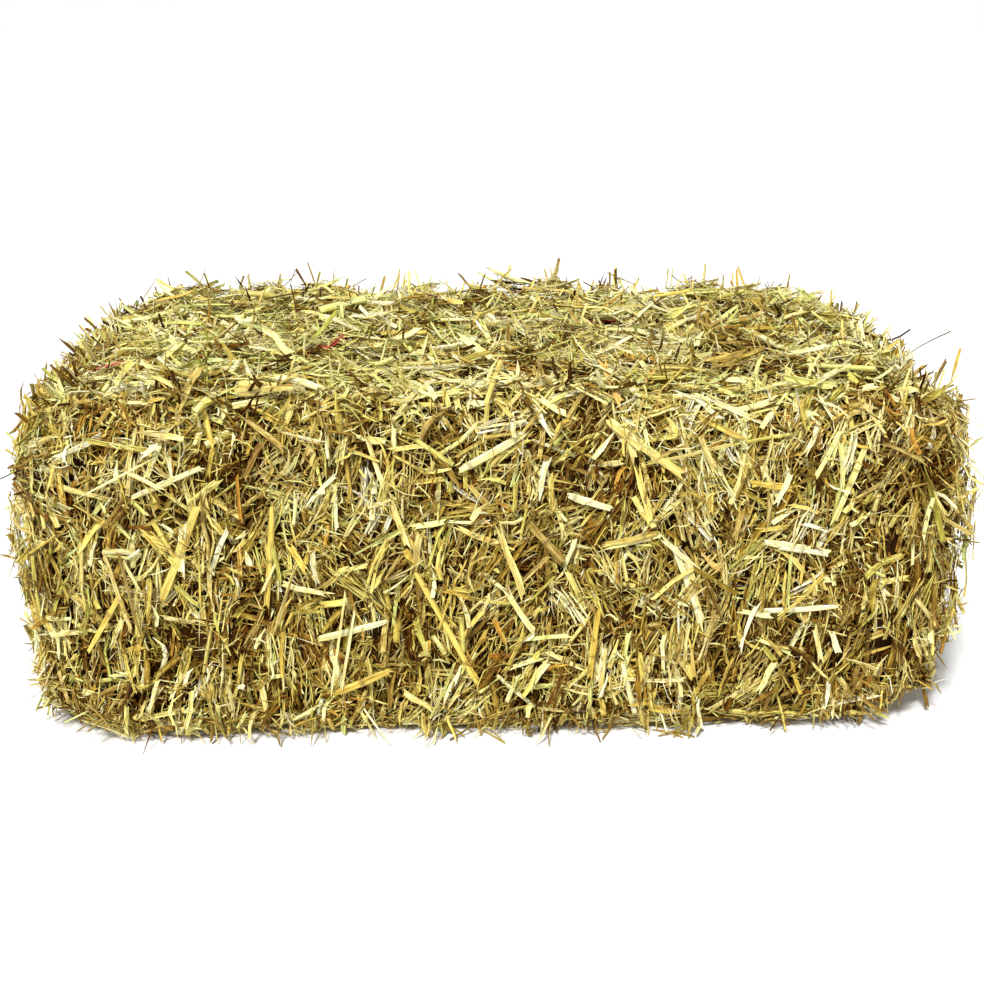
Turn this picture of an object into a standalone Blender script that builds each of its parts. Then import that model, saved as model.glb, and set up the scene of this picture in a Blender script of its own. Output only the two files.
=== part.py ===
"""A small square straw bale, as a field baler makes it.

The plunger packs the straw into flakes, one for each stroke, and two loops of twine hold the
stack of flakes together along its length. The flakes stand along X, the twines run over the
top, down both ends and back underneath. Long stalks lie loose on the outside, pinched by their
neighbours. Lengths are in metres, +Z is up, and the bale rests on the plane Z = 0.
"""

import math
import random

import bmesh
import bpy
from mathutils import Matrix, Vector, noise
from mathutils.bvhtree import BVHTree

# Driving dimensions of the packed straw
BALE_LENGTH = 0.906
BALE_DEPTH = 0.448
BALE_HEIGHT = 0.358
FLAKE_COUNT = 11
FLAKE_GAP = 0.0008
FLAKE_THICKNESS_SPREAD = 0.10

# How the ends round off: along X, and at the top, the bottom and the two sides
END_RADIUS = 0.105
END_TOP_DROP = 0.072
END_BOTTOM_RISE = 0.064
END_SIDE_DROP = 0.034
END_CROWN = 0.007
END_CROWN_SHARE = 0.55

# The right end is lifted off the ground a little
LIFT_START = 0.22
LIFT_HEIGHT = 0.018

# Long edges of the bale, seen along X
TOP_EDGE_RADIUS = 0.046
BOTTOM_EDGE_RADIUS = 0.030

# Unevenness of the packed straw
LUMP_SIZE = 0.085
LUMP_HEIGHT = 0.0065
RIB_HEIGHT = 0.0028
GROOVE_DEPTH = 0.008
SECTION_PLACES = (0.0, 0.13, 0.5, 0.87, 1.0)

# Twine
TWINE_Y = 0.090
TWINE_RADIUS = 0.0018
TWINE_SINK = 0.0065
TWINE_END_BITE = 0.0012
TWINE_CLEARANCE = 0.0006
TWINE_SLOT_WIDTH = 0.012
KNOT_X = -0.166
KNOT_SIZE = (0.0072, 0.0042, 0.0036)
KNOT_RISE = 0.0019
KNOT_TAIL_LENGTH = 0.024
KNOT_TAIL_LEANS = (66, -70)

# Stubs: the ends of stalks that are packed in a flake and stick out of it
STUBS_PER_FLAKE = {"front": 2, "back": 2, "top": 3}
STUBS_PER_END = 8
STUB_REACH = (0.012, 0.023)
STUB_SLIDE = (0.020, 0.044)
STUB_WIDTH = (0.0048, 0.0072)
STUB_FLATNESS = 0.62
STUB_TAPER = 0.72
STUB_ROOT = 0.014
STUB_MARGIN = 0.006
STUB_SPACING = 0.017
STUB_EDGE_MARGIN = 0.055
STUB_TWINE_MARGIN = 0.016
STUB_SIDES = 5
STUB_TRIES = 400

# Loose stalks
STALK_CLEARANCE = 0.0006
STALK_STEP = 0.0025
STALK_FLATNESS = 0.5
STALK_SIDES = 6
JOINT_LENGTH = 0.0035
JOINT_SWELL = 1.28

# Colours of the straw, as red, green and blue from 0 to 1
FLAKE_COLOUR = (0.50, 0.37, 0.13)
TWINE_COLOUR = (0.42, 0.06, 0.03)
STALK_COLOURS = {
    "golden": (0.80, 0.56, 0.12),
    "cream": (0.88, 0.80, 0.50),
    "tan": (0.56, 0.40, 0.17),
}

# Each face of the bale: a point on it, then its rightward, upward and outward directions
FACES = {
    "front": (Vector((0, -BALE_DEPTH / 2, 0)), Vector((1, 0, 0)), Vector((0, 0, 1)), Vector((0, -1, 0))),
    "back": (Vector((0, BALE_DEPTH / 2, 0)), Vector((-1, 0, 0)), Vector((0, 0, 1)), Vector((0, 1, 0))),
    "top": (Vector((0, 0, BALE_HEIGHT)), Vector((1, 0, 0)), Vector((0, 1, 0)), Vector((0, 0, 1))),
    "left": (Vector((-BALE_LENGTH / 2, 0, 0)), Vector((0, -1, 0)), Vector((0, 0, 1)), Vector((-1, 0, 0))),
    "right": (Vector((BALE_LENGTH / 2, 0, 0)), Vector((0, 1, 0)), Vector((0, 0, 1)), Vector((1, 0, 0))),
}

# Loose stalks: name, face, centre across and up the face, angle from level in degrees,
# length, width and colour. The ones on the front and the top are where the eye finds them.
LOOSE_STALKS = (
    ("stalk_front_01", "front", -0.143, 0.118, 14, 0.078, 0.0070, "cream"),
    ("stalk_front_02", "front", -0.050, 0.115, -63, 0.150, 0.0055, "golden"),
    ("stalk_front_03", "front", -0.303, 0.198, 68, 0.108, 0.0080, "golden"),
    ("stalk_front_04", "front", -0.219, 0.195, 85, 0.110, 0.0055, "golden"),
    ("stalk_front_05", "front", -0.009, 0.296, 30, 0.084, 0.0075, "cream"),
    ("stalk_front_06", "front", 0.133, 0.300, -36, 0.096, 0.0085, "golden"),
    ("stalk_front_07", "front", 0.084, 0.245, -18, 0.056, 0.0065, "cream"),
    ("stalk_front_08", "front", 0.282, 0.198, -11, 0.072, 0.0075, "cream"),
    ("stalk_front_09", "front", 0.181, 0.160, -69, 0.097, 0.0065, "cream"),
    ("stalk_front_10", "front", 0.044, 0.204, -49, 0.059, 0.0070, "tan"),
    ("stalk_front_11", "front", 0.125, 0.208, 14, 0.062, 0.0055, "golden"),
    ("stalk_front_12", "front", 0.330, 0.258, 71, 0.084, 0.0055, "cream"),
    ("stalk_front_13", "front", -0.133, 0.064, 22, 0.068, 0.0075, "golden"),
    ("stalk_front_14", "front", -0.378, 0.128, 60, 0.080, 0.0050, "golden"),
    ("stalk_front_15", "front", 0.290, 0.134, 2, 0.090, 0.0055, "cream"),
    ("stalk_front_16", "front", 0.092, 0.100, 84, 0.078, 0.0055, "golden"),
    ("stalk_front_17", "front", 0.226, 0.262, 74, 0.052, 0.0060, "tan"),
    ("stalk_front_18", "front", -0.312, 0.268, 24, 0.082, 0.0050, "cream"),
    ("stalk_top_01", "top", -0.070, 0.060, 20, 0.100, 0.0065, "golden"),
    ("stalk_top_02", "top", 0.300, 0.004, 8, 0.074, 0.0080, "golden"),
    ("stalk_top_03", "top", 0.132, 0.118, -21, 0.094, 0.0055, "cream"),
    ("stalk_top_04", "top", 0.104, -0.130, 17, 0.086, 0.0060, "golden"),
    ("stalk_top_05", "top", -0.230, 0.120, 38, 0.082, 0.0060, "cream"),
    ("stalk_top_06", "top", -0.290, -0.050, -14, 0.110, 0.0055, "cream"),
    ("stalk_top_07", "top", 0.225, -0.060, -30, 0.080, 0.0060, "tan"),
    ("stalk_left_01", "left", 0.060, 0.200, 72, 0.100, 0.0060, "golden"),
    ("stalk_left_02", "left", -0.110, 0.150, -40, 0.080, 0.0065, "cream"),
    ("stalk_right_01", "right", -0.060, 0.160, 64, 0.096, 0.0065, "golden"),
    ("stalk_right_02", "right", 0.110, 0.220, -24, 0.076, 0.0060, "cream"),
    ("stalk_back_01", "back", -0.280, 0.180, 76, 0.110, 0.0065, "golden"),
    ("stalk_back_02", "back", -0.060, 0.240, -38, 0.090, 0.0075, "cream"),
    ("stalk_back_03", "back", 0.140, 0.120, 62, 0.120, 0.0055, "golden"),
    ("stalk_back_04", "back", 0.310, 0.230, 18, 0.080, 0.0065, "tan"),
)


def remove_old_objects():
    for old in list(bpy.data.objects):
        bpy.data.objects.remove(old, do_unlink=True)


def principled(name, colour, roughness):
    material = bpy.data.materials.new(name)
    material.use_nodes = True
    shader = material.node_tree.nodes["Principled BSDF"]
    shader.inputs["Base Color"].default_value = (*colour, 1.0)
    shader.inputs["Roughness"].default_value = roughness
    shader.inputs["Metallic"].default_value = 0.0
    material.diffuse_color = (*colour, 1.0)
    return material


def mesh_object(name, bm, material=None):
    """A new object that holds a bmesh, with its faces pointing out."""
    bmesh.ops.recalc_face_normals(bm, faces=bm.faces[:])
    mesh = bpy.data.meshes.new(name)
    bm.to_mesh(mesh)
    bm.free()
    obj = bpy.data.objects.new(name, mesh)
    bpy.context.scene.collection.objects.link(obj)
    if material is not None:
        mesh.materials.append(material)
    return obj


def as_tool(obj):
    """Marks an object that only cuts or joins another, and isn't a piece of the bale."""
    obj.hide_render = True
    obj.display_type = "WIRE"
    return obj


def boolean(obj, tool, operation):
    modifier = obj.modifiers.new(operation.lower(), "BOOLEAN")
    modifier.operation = operation
    modifier.solver = "EXACT"
    modifier.object = tool


# Outline of the bale


def end_share(x):
    """0 along the straight middle of the bale, rising to 1 at the very end."""
    from_end = BALE_LENGTH / 2 - abs(x)
    if from_end >= END_RADIUS:
        return 0.0
    along = 1 - max(from_end, 0.0) / END_RADIUS
    return 1 - math.sqrt(max(1 - along * along, 0.0))


def top_height(x):
    return BALE_HEIGHT - END_TOP_DROP * end_share(x)


def bottom_height(x):
    lifted = max(x - LIFT_START, 0.0) / (BALE_LENGTH / 2 - LIFT_START)
    return END_BOTTOM_RISE * end_share(x) + LIFT_HEIGHT * lifted**1.5


def half_depth(x):
    return BALE_DEPTH / 2 - END_SIDE_DROP * end_share(x)


def section_outline(x):
    """Points round one section of the bale in Y and Z, each with its outward direction."""
    side, low, high = half_depth(x), bottom_height(x), top_height(x)
    corners = (
        (-side, low, BOTTOM_EDGE_RADIUS, 180, 5),
        (side, low, BOTTOM_EDGE_RADIUS, 270, 4),
        (side, high, TOP_EDGE_RADIUS, 0, 6),
        (-side, high, TOP_EDGE_RADIUS, 90, 4),
    )
    arcs = []
    for y, z, radius, start, _ in corners:
        centre = Vector((0, y - math.copysign(radius, y), z + (radius if z == low else -radius)))
        turns = [math.radians(start + step) for step in (0, 45, 90)]
        outward = [Vector((0, math.cos(turn), math.sin(turn))) for turn in turns]
        arcs.append([(centre + radius * out, out) for out in outward])
    points = []
    for index, arc in enumerate(arcs):
        points += arc
        (start, out), (end, _) = arc[-1], arcs[(index + 1) % len(arcs)][0]
        between = corners[index][4]
        for step in range(1, between + 1):
            points.append((start.lerp(end, step / (between + 1)), out))
    return [(Vector((x, p.y, p.z)), out) for p, out in points]


def lumpy_section(x, push, groove):
    """One section, pushed out or in as packed straw is, and flat where it stands on the ground."""
    points = []
    for point, out in section_outline(x):
        lump = LUMP_HEIGHT * noise.noise(point / LUMP_SIZE)
        fold = push * (0.6 + 0.8 * noise.noise(point / LUMP_SIZE + Vector((7, 3, 5))))
        moved = point + out * (lump + fold - groove)
        if out.z < -0.9:
            moved.z = bottom_height(x) + groove * 0.6
        moved.z = max(moved.z, 0.0)
        points.append(moved)
    return points


def flake_edges(rng):
    """X of the faces between the flakes, from the left end to the right."""
    widths = [1 + rng.uniform(-1, 1) * FLAKE_THICKNESS_SPREAD for _ in range(FLAKE_COUNT)]
    edges = [-BALE_LENGTH / 2]
    for width in widths:
        edges.append(edges[-1] + BALE_LENGTH * width / sum(widths))
    return edges


def at_end(x):
    return abs(abs(x) - BALE_LENGTH / 2) < 1e-6


def flake_sections(left, right, rng):
    """The sections of one flake, pinched where it meets its neighbours and domed at a free end."""
    left += 0 if at_end(left) else FLAKE_GAP / 2
    right -= 0 if at_end(right) else FLAKE_GAP / 2
    sections = []
    for place in SECTION_PLACES:
        x = left + (right - left) * place
        pinched = place in (0.0, 1.0) and not at_end(x)
        push = rng.uniform(-1, 1) * RIB_HEIGHT
        sections.append(lumpy_section(x, push, GROOVE_DEPTH if pinched else 0.0))
    if at_end(left):
        sections.insert(0, end_dome(sections[0]))
    if at_end(right):
        sections.append(end_dome(sections[-1]))
    return sections


def end_dome(rim):
    """A smaller outline that stands out beyond the rim of the bale's end."""
    middle = sum(rim, Vector()) / len(rim)
    outward = Vector((math.copysign(END_CROWN, middle.x), 0, 0))
    return [middle.lerp(point, END_CROWN_SHARE) + outward for point in rim]


def loft(sections):
    """Extrudes the cap of the first section through each of the others."""
    bm = bmesh.new()
    cap = bm.faces.new([bm.verts.new(point) for point in sections[0]])
    for number, section in enumerate(sections[1:]):
        grown = bmesh.ops.extrude_face_region(bm, geom=[cap])["geom"]
        new_cap = next(part for part in grown if isinstance(part, bmesh.types.BMFace))
        if number > 0:
            bmesh.ops.delete(bm, geom=[cap], context="FACES_ONLY")
        for vert, point in zip(new_cap.verts, section):
            vert.co = point
        cap = new_cap
    bmesh.ops.triangulate(bm, faces=bm.faces[:])
    return bm


# Twine


def twine_route():
    """The loop that a twine follows round the bale, as X and Z, sunk below the outline."""
    straight = BALE_LENGTH / 2 - END_RADIUS
    quarter = [math.radians(angle) for angle in (15, 30, 45, 60, 75)]
    near_end = [straight + END_RADIUS * math.sin(turn) for turn in quarter]
    along = [-straight, -0.20, 0.0, 0.20, 0.27, straight]
    right = near_end + [BALE_LENGTH / 2 - TWINE_END_BITE]
    left = [-x for x in right]
    top = left[::-1] + along + right
    outline = [Vector((x, 0, top_height(x))) for x in top]
    outline += [Vector((x, 0, bottom_height(x))) for x in top[::-1]]
    return offset_loop(outline, -TWINE_SINK)


def offset_loop(loop, distance):
    """A clockwise loop in X and Z moved outward by a distance, or inward by a negative one."""
    moved = []
    for index, point in enumerate(loop):
        ahead = loop[(index + 1) % len(loop)] - point
        behind = point - loop[index - 1]
        tangent = (ahead.normalized() + behind.normalized()).normalized()
        moved.append(point + Vector((-tangent.z, 0, tangent.x)) * distance)
    return moved


def slot_cutter(name, route, y):
    """A ring that reaches from just under the twine to outside the bale."""
    inner = offset_loop(route, -(TWINE_RADIUS + TWINE_CLEARANCE))
    outer = offset_loop(route, 0.05)
    bm = bmesh.new()
    sides = []
    for offset in (-TWINE_SLOT_WIDTH / 2, TWINE_SLOT_WIDTH / 2):
        shift = Vector((0, y + offset, 0))
        sides.append([[bm.verts.new(p + shift) for p in loop] for loop in (inner, outer)])
    (near_in, near_out), (far_in, far_out) = sides
    loops = (near_in, near_out, far_out, far_in)
    count = len(route)
    for a, b in zip(loops, loops[1:] + loops[:1]):
        for i in range(count):
            j = (i + 1) % count
            bm.faces.new((a[i], a[j], b[j], b[i]))
    return as_tool(mesh_object(name, bm))


def knot_solid(name, centre):
    """The knot's lump with its two cut tails, which stand up out of the slot."""
    bm = bmesh.new()
    lump = Matrix.Translation(centre) @ Matrix.Diagonal((*KNOT_SIZE, 1))
    bmesh.ops.create_icosphere(bm, subdivisions=2, radius=1, matrix=lump)
    knot = as_tool(mesh_object(name, bm))
    for number, lean in enumerate(KNOT_TAIL_LEANS):
        direction = Vector((math.sin(math.radians(lean)), 0, math.cos(math.radians(lean))))
        middle = centre + direction * KNOT_TAIL_LENGTH / 2
        turn = direction.to_track_quat("Z", "Y").to_matrix().to_4x4()
        tail = bmesh.new()
        bmesh.ops.create_cone(
            tail,
            cap_ends=True,
            segments=6,
            radius1=TWINE_RADIUS * 0.85,
            radius2=TWINE_RADIUS * 0.7,
            depth=KNOT_TAIL_LENGTH,
            matrix=Matrix.Translation(middle) @ turn,
        )
        boolean(knot, as_tool(mesh_object(f"{name}_tail_{number}", tail)), "UNION")
    return knot


def make_twine(name, route, y, material):
    """A closed loop of twine with its knot on top."""
    curve = bpy.data.curves.new(name + "_route", "CURVE")
    curve.dimensions = "3D"
    curve.bevel_depth = TWINE_RADIUS
    curve.bevel_resolution = 1
    spline = curve.splines.new("POLY")
    spline.points.add(len(route) - 1)
    spline.use_cyclic_u = True
    for point, at in zip(spline.points, route):
        point.co = (at.x, y, at.z, 1)
    line = bpy.data.objects.new(name + "_route", curve)
    bpy.context.scene.collection.objects.link(line)
    bpy.context.view_layer.update()
    mesh = bpy.data.meshes.new_from_object(line)
    bpy.data.objects.remove(line)
    bm = bmesh.new()
    bm.from_mesh(mesh)
    bmesh.ops.remove_doubles(bm, verts=bm.verts[:], dist=1e-5)
    twine = mesh_object(name, bm, material)
    twine.data.shade_smooth()
    knot_z = top_height(KNOT_X) - TWINE_SINK + KNOT_RISE
    boolean(twine, knot_solid(name + "_knot", Vector((KNOT_X, y, knot_z))), "UNION")
    return twine


# Stubs


def segment_gap(a, b, c, d):
    """Least distance between the segments a-b and c-d, read at points along both."""
    steps = [i / 6 for i in range(7)]
    return min((a.lerp(b, s) - c.lerp(d, t)).length for s in steps for t in steps)


def stub_try(face, left, right, rng):
    """One possible stub: its root under a face of the bale and its tip in the open."""
    _, rightward, upward, outward = FACES[face]
    reach = rng.uniform(*STUB_REACH)
    slide = rng.uniform(*STUB_SLIDE)
    heading = rng.uniform(0, math.tau)
    across = (rightward * math.cos(heading) + upward * math.sin(heading)) * slide
    x = rng.uniform(left, right)
    y = rng.uniform(-1, 1) * (half_depth(x) - STUB_EDGE_MARGIN)
    if face in ("left", "right"):
        x = math.copysign(BALE_LENGTH / 2, outward.x)
    z = rng.uniform(bottom_height(x) + STUB_EDGE_MARGIN, top_height(x) - STUB_EDGE_MARGIN)
    if face in ("front", "back"):
        y = math.copysign(half_depth(x), outward.y)
    elif face == "top":
        z = top_height(x)
    skin = Vector((x, y, z))
    return skin - outward * STUB_ROOT - across * 0.4, skin + outward * reach + across * 0.6


def stub_fits(root, tip, left, right):
    """Whether a stub keeps to its flake, is rooted deep enough and misses the twines."""
    low_x, high_x = sorted((root.x, tip.x))
    if not at_end(left) and low_x < left + STUB_MARGIN:
        return False
    if not at_end(right) and high_x > right - STUB_MARGIN:
        return False
    sunk = (
        half_depth(root.x) - abs(root.y),
        root.z - bottom_height(root.x),
        top_height(root.x) - root.z,
        BALE_LENGTH / 2 - abs(root.x),
    )
    if min(sunk) < STUB_ROOT * 0.8 or tip.z < STUB_MARGIN:
        return False
    if abs(root.y) > TWINE_Y * 2:
        return True
    return all(abs(abs(p.y) - TWINE_Y) > STUB_TWINE_MARGIN for p in (root, tip, (root + tip) / 2))


def stub_places(left, right, taken, rng):
    """Roots and tips of the stubs of one flake, clear of each other and of the lines in taken."""
    wanted = dict(STUBS_PER_FLAKE)
    if at_end(left):
        wanted["left"] = STUBS_PER_END
    if at_end(right):
        wanted["right"] = STUBS_PER_END
    placed = []
    for face, count in wanted.items():
        goal = len(placed) + count
        for _ in range(STUB_TRIES):
            root, tip = stub_try(face, left, right, rng)
            crowded = any(segment_gap(root, tip, a, b) < STUB_SPACING for a, b in taken + placed)
            if stub_fits(root, tip, left, right) and not crowded:
                placed.append((root, tip))
            if len(placed) == goal:
                break
    return placed


def add_stubs(flake, places, rng):
    """Joins flattened, tapered stubs to a flake."""
    bm = bmesh.new()
    for root, tip in places:
        along = tip - root
        width = rng.uniform(*STUB_WIDTH)
        turn = along.to_track_quat("Z", "Y").to_matrix().to_4x4()
        spin = Matrix.Rotation(rng.uniform(0, math.pi), 4, "Z")
        flatten = Matrix.Diagonal((width / 2, width / 2 * STUB_FLATNESS, 1, 1))
        bmesh.ops.create_cone(
            bm,
            cap_ends=True,
            segments=STUB_SIDES,
            radius1=1.0,
            radius2=STUB_TAPER,
            depth=along.length,
            matrix=Matrix.Translation((root + tip) / 2) @ turn @ spin @ flatten,
        )
    boolean(flake, as_tool(mesh_object(flake.name + "_stubs", bm)), "UNION")


def make_flake(name, left, right, material, cutters, taken, rng):
    """One flake, with the slots that the twines press into it and its stubs."""
    flake = mesh_object(name, loft(flake_sections(left, right, rng)), material)
    for cutter in cutters:
        boolean(flake, cutter, "DIFFERENCE")
    places = stub_places(left, right, taken, rng)
    add_stubs(flake, places, rng)
    taken += places
    return flake


# Loose stalks


class Surface:
    """Everything made so far, as one surface that a loose stalk can be laid on."""

    def __init__(self, objects):
        self.points, self.faces = [], []
        graph = bpy.context.evaluated_depsgraph_get()
        for obj in objects:
            self.add(obj.evaluated_get(graph).to_mesh(), obj.matrix_world)

    def add(self, mesh, matrix):
        start = len(self.points)
        self.points += [matrix @ v.co for v in mesh.vertices]
        self.faces += [[start + i for i in face.vertices] for face in mesh.polygons]
        self.tree = BVHTree.FromPolygons(self.points, self.faces)

    def height(self, point, outward, reach=0.08):
        """How far the surface stands out beyond a point, along a direction."""
        hit = self.tree.ray_cast(point + outward * reach, -outward, 2 * reach)
        return reach - hit[3] if hit[0] is not None else -reach


def resting_line(heights):
    """Height and slope at s = 0 of the straight line that rests on points (s, height)."""
    hull = []
    for point in sorted(heights):
        while len(hull) > 1 and turns_up(hull[-2], hull[-1], point):
            hull.pop()
        hull.append(point)
    for (s0, h0), (s1, h1) in zip(hull, hull[1:]):
        if s0 <= 0 <= s1:
            slope = (h1 - h0) / (s1 - s0)
            return h0 - slope * s0, slope
    return max(h for _, h in hull), 0.0


def turns_up(a, b, c):
    return (b[1] - a[1]) * (c[0] - a[0]) <= (c[1] - a[1]) * (b[0] - a[0])


def loose_stalk_line(face, across, up, angle):
    """Middle and direction of a loose stalk on the plain outline of the bale."""
    origin, rightward, upward, _ = FACES[face]
    turn = math.radians(angle)
    direction = rightward * math.cos(turn) + upward * math.sin(turn)
    return origin + rightward * across + upward * up, direction


def settle(surface, face, middle, direction, length, width):
    """Centre and direction of a straight stalk laid on the surface."""
    outward = FACES[face][3]
    sideways = outward.cross(direction)
    steps = int(length / STALK_STEP)
    heights = {}
    for step in range(steps + 1):
        s = (step / steps - 0.5) * length
        for share in (-0.5, -0.25, 0, 0.25, 0.5):
            at = middle + direction * s + sideways * width * share * 1.2
            heights[s] = max(heights.get(s, -1.0), surface.height(at, outward))
    height, slope = resting_line(list(heights.items()))
    thickness = width * STALK_FLATNESS
    lifted = middle + outward * (height + thickness / 2 * JOINT_SWELL + STALK_CLEARANCE)
    return lifted, (direction + outward * slope).normalized()


def make_loose_stalk(name, centre, direction, outward, length, width, joint_at, material):
    """A flattened stalk with one joint, the swelling where a leaf grew."""
    sideways = outward.cross(direction).normalized()
    up = direction.cross(sideways).normalized()
    stations = (
        (-length / 2, 0.9),
        (joint_at - JOINT_LENGTH, 1.0),
        (joint_at, JOINT_SWELL),
        (joint_at + JOINT_LENGTH, 1.0),
        (length / 2, 0.86),
    )
    rings = []
    for along, swell in stations:
        ring = []
        for side in range(STALK_SIDES):
            turn = math.tau * side / STALK_SIDES
            across = sideways * math.cos(turn) * width / 2 * swell
            above = up * math.sin(turn) * width * STALK_FLATNESS / 2 * swell
            ring.append(centre + direction * along + across + above)
        rings.append(ring)
    stalk = mesh_object(name, loft(rings), material)
    stalk.data.shade_smooth()
    stalk.data.set_sharp_from_angle(angle=math.radians(50))
    return stalk


def main():
    remove_old_objects()
    rng = random.Random(14)
    flake_material = principled("packed_straw", FLAKE_COLOUR, 0.85)
    twine_material = principled("baler_twine", TWINE_COLOUR, 0.6)
    stalk_materials = {k: principled(k + "_stalk", c, 0.5) for k, c in STALK_COLOURS.items()}

    route = twine_route()
    cutters = [slot_cutter(f"slot_{name}", route, y) for name, y in (("near", -TWINE_Y), ("far", TWINE_Y))]
    twines = [
        make_twine("twine_near", route, -TWINE_Y, twine_material),
        make_twine("twine_far", route, TWINE_Y, twine_material),
    ]

    taken = []
    for _, face, across, up, angle, length, _, _ in LOOSE_STALKS:
        middle, direction = loose_stalk_line(face, across, up, angle)
        for share in (0, 0.5, 1):
            above = middle + FACES[face][3] * STUB_REACH[1] * share
            taken.append((above - direction * length / 2, above + direction * length / 2))

    edges = flake_edges(rng)
    flakes = []
    for index, (left, right) in enumerate(zip(edges, edges[1:])):
        name = f"flake_{index + 1:02d}"
        flakes.append(make_flake(name, left, right, flake_material, cutters, taken, rng))

    bpy.context.view_layer.update()
    surface = Surface(flakes + twines)
    stalks = []
    for name, face, across, up, angle, length, width, colour in LOOSE_STALKS:
        middle, direction = loose_stalk_line(face, across, up, angle)
        centre, along = settle(surface, face, middle, direction, length, width)
        joint_at = length * rng.uniform(-0.3, 0.3)
        stalk = make_loose_stalk(
            name, centre, along, FACES[face][3], length, width, joint_at, stalk_materials[colour]
        )
        surface.add(stalk.data, Matrix.Identity(4))
        stalks.append(stalk)

    stand_on_origin(flakes + twines + stalks)


def stand_on_origin(pieces):
    """Puts every piece under one empty that centres the bale's box over the origin."""
    graph = bpy.context.evaluated_depsgraph_get()
    corners = []
    for piece in pieces:
        corners += [piece.matrix_world @ v.co for v in piece.evaluated_get(graph).to_mesh().vertices]
    middle_x = (min(c.x for c in corners) + max(c.x for c in corners)) / 2
    middle_y = (min(c.y for c in corners) + max(c.y for c in corners)) / 2
    bale = bpy.data.objects.new("bale", None)
    bpy.context.scene.collection.objects.link(bale)
    bale.location = (-middle_x, -middle_y, 0)
    for obj in list(bpy.context.scene.collection.objects):
        if obj is not bale:
            obj.parent = bale


main()
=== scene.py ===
# %% [markdown]
# # A small square straw bale
#
# A field baler presses straw into slabs, called flakes, and ties the stack with twine. The
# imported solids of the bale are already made: eleven flakes, two loops of twine and a few dozen
# loose stalks. This lesson dresses them. Each flake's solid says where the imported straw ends, and
# here tens of thousands of single straws take its place. First the fixed frame is loaded.

# %% Load the frame
import math
import random
from typing import NamedTuple

import bmesh
import bpy
import numpy as np
from mathutils import Matrix, Vector, noise
from mathutils.bvhtree import BVHTree
from mathutils.kdtree import KDTree


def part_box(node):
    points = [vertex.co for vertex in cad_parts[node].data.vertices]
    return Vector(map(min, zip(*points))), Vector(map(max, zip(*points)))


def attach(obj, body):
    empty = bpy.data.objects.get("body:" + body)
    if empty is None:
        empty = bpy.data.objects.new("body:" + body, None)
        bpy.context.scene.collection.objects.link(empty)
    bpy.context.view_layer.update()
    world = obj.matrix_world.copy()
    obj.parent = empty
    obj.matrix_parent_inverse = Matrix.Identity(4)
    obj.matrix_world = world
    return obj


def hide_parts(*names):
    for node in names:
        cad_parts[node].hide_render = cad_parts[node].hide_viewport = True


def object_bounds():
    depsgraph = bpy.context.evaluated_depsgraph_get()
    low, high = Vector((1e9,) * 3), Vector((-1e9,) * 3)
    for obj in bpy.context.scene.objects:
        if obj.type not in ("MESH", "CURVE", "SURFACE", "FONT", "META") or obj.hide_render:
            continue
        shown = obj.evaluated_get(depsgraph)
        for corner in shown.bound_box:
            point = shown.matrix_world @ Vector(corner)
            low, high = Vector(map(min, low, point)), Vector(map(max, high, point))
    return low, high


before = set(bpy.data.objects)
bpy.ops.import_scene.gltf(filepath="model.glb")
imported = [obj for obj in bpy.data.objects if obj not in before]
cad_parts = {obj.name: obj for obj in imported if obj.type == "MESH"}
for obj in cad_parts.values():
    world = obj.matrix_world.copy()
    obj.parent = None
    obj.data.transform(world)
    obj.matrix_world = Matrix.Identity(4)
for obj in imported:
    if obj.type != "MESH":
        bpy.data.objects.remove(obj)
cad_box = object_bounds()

FLAKES = sorted(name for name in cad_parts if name.startswith("flake"))
STALKS = sorted(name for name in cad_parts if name.startswith("stalk"))
print("flakes:", len(FLAKES), "loose stalks:", len(STALKS))
print("box:", [round(v, 3) for corner in cad_box for v in corner])

# %% [markdown]
# ## The camera and the light
#
# The picture was taken from a little above, slightly left of the middle, with an ordinary lens.
# The bale nearly fills the width. The light is soft and comes from above, in front and left, so
# the top is the brightest side and each straw throws a small shadow on the ones beneath it.

# %% Camera
CAMERA_PLACE = Vector((-0.084, -1.62, 0.715))
CAMERA_TURN = math.radians(3.13)
CAMERA_DIP = math.radians(18.2)
CAMERA_ROLL = math.radians(-0.38)
CAMERA_LENS = 57.26

forward = Vector((
    math.sin(CAMERA_TURN) * math.cos(CAMERA_DIP),
    math.cos(CAMERA_TURN) * math.cos(CAMERA_DIP),
    -math.sin(CAMERA_DIP),
))
camera_data = bpy.data.cameras.new("camera")
camera_data.lens = CAMERA_LENS
camera_data.sensor_width = 36.0
camera = bpy.data.objects.new("camera", camera_data)
bpy.context.scene.collection.objects.link(camera)
aim = forward.to_track_quat("-Z", "Y").to_matrix().to_4x4()
camera.matrix_world = Matrix.Translation(CAMERA_PLACE) @ aim @ Matrix.Rotation(-CAMERA_ROLL, 4, "Z")
bpy.context.scene.camera = camera

# %% [markdown]
# Materials, the light and the straw layer are all made of nodes, so one helper adds a node. It
# sets the node's own settings, and each input is given a number or linked to another node.

# %% A helper for nodes


def add(tree, kind, inputs=None, **settings):
    """Adds a node to a tree. An input is a value, or the output that it is linked to."""
    made = tree.nodes.new(kind)
    for setting, value in settings.items():
        setattr(made, setting, value)
    for socket, value in (inputs or {}).items():
        if isinstance(value, bpy.types.NodeSocket):
            tree.links.new(value, made.inputs[socket])
        else:
            made.inputs[socket].default_value = value
    return made


def math_node(tree, operation, first, second=0.0, third=0.0, clamp=False):
    """The result of one sum on numbers or outputs."""
    inputs = {0: first, 1: second, 2: third}
    return add(tree, "ShaderNodeMath", inputs, operation=operation, use_clamp=clamp).outputs[0]


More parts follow.
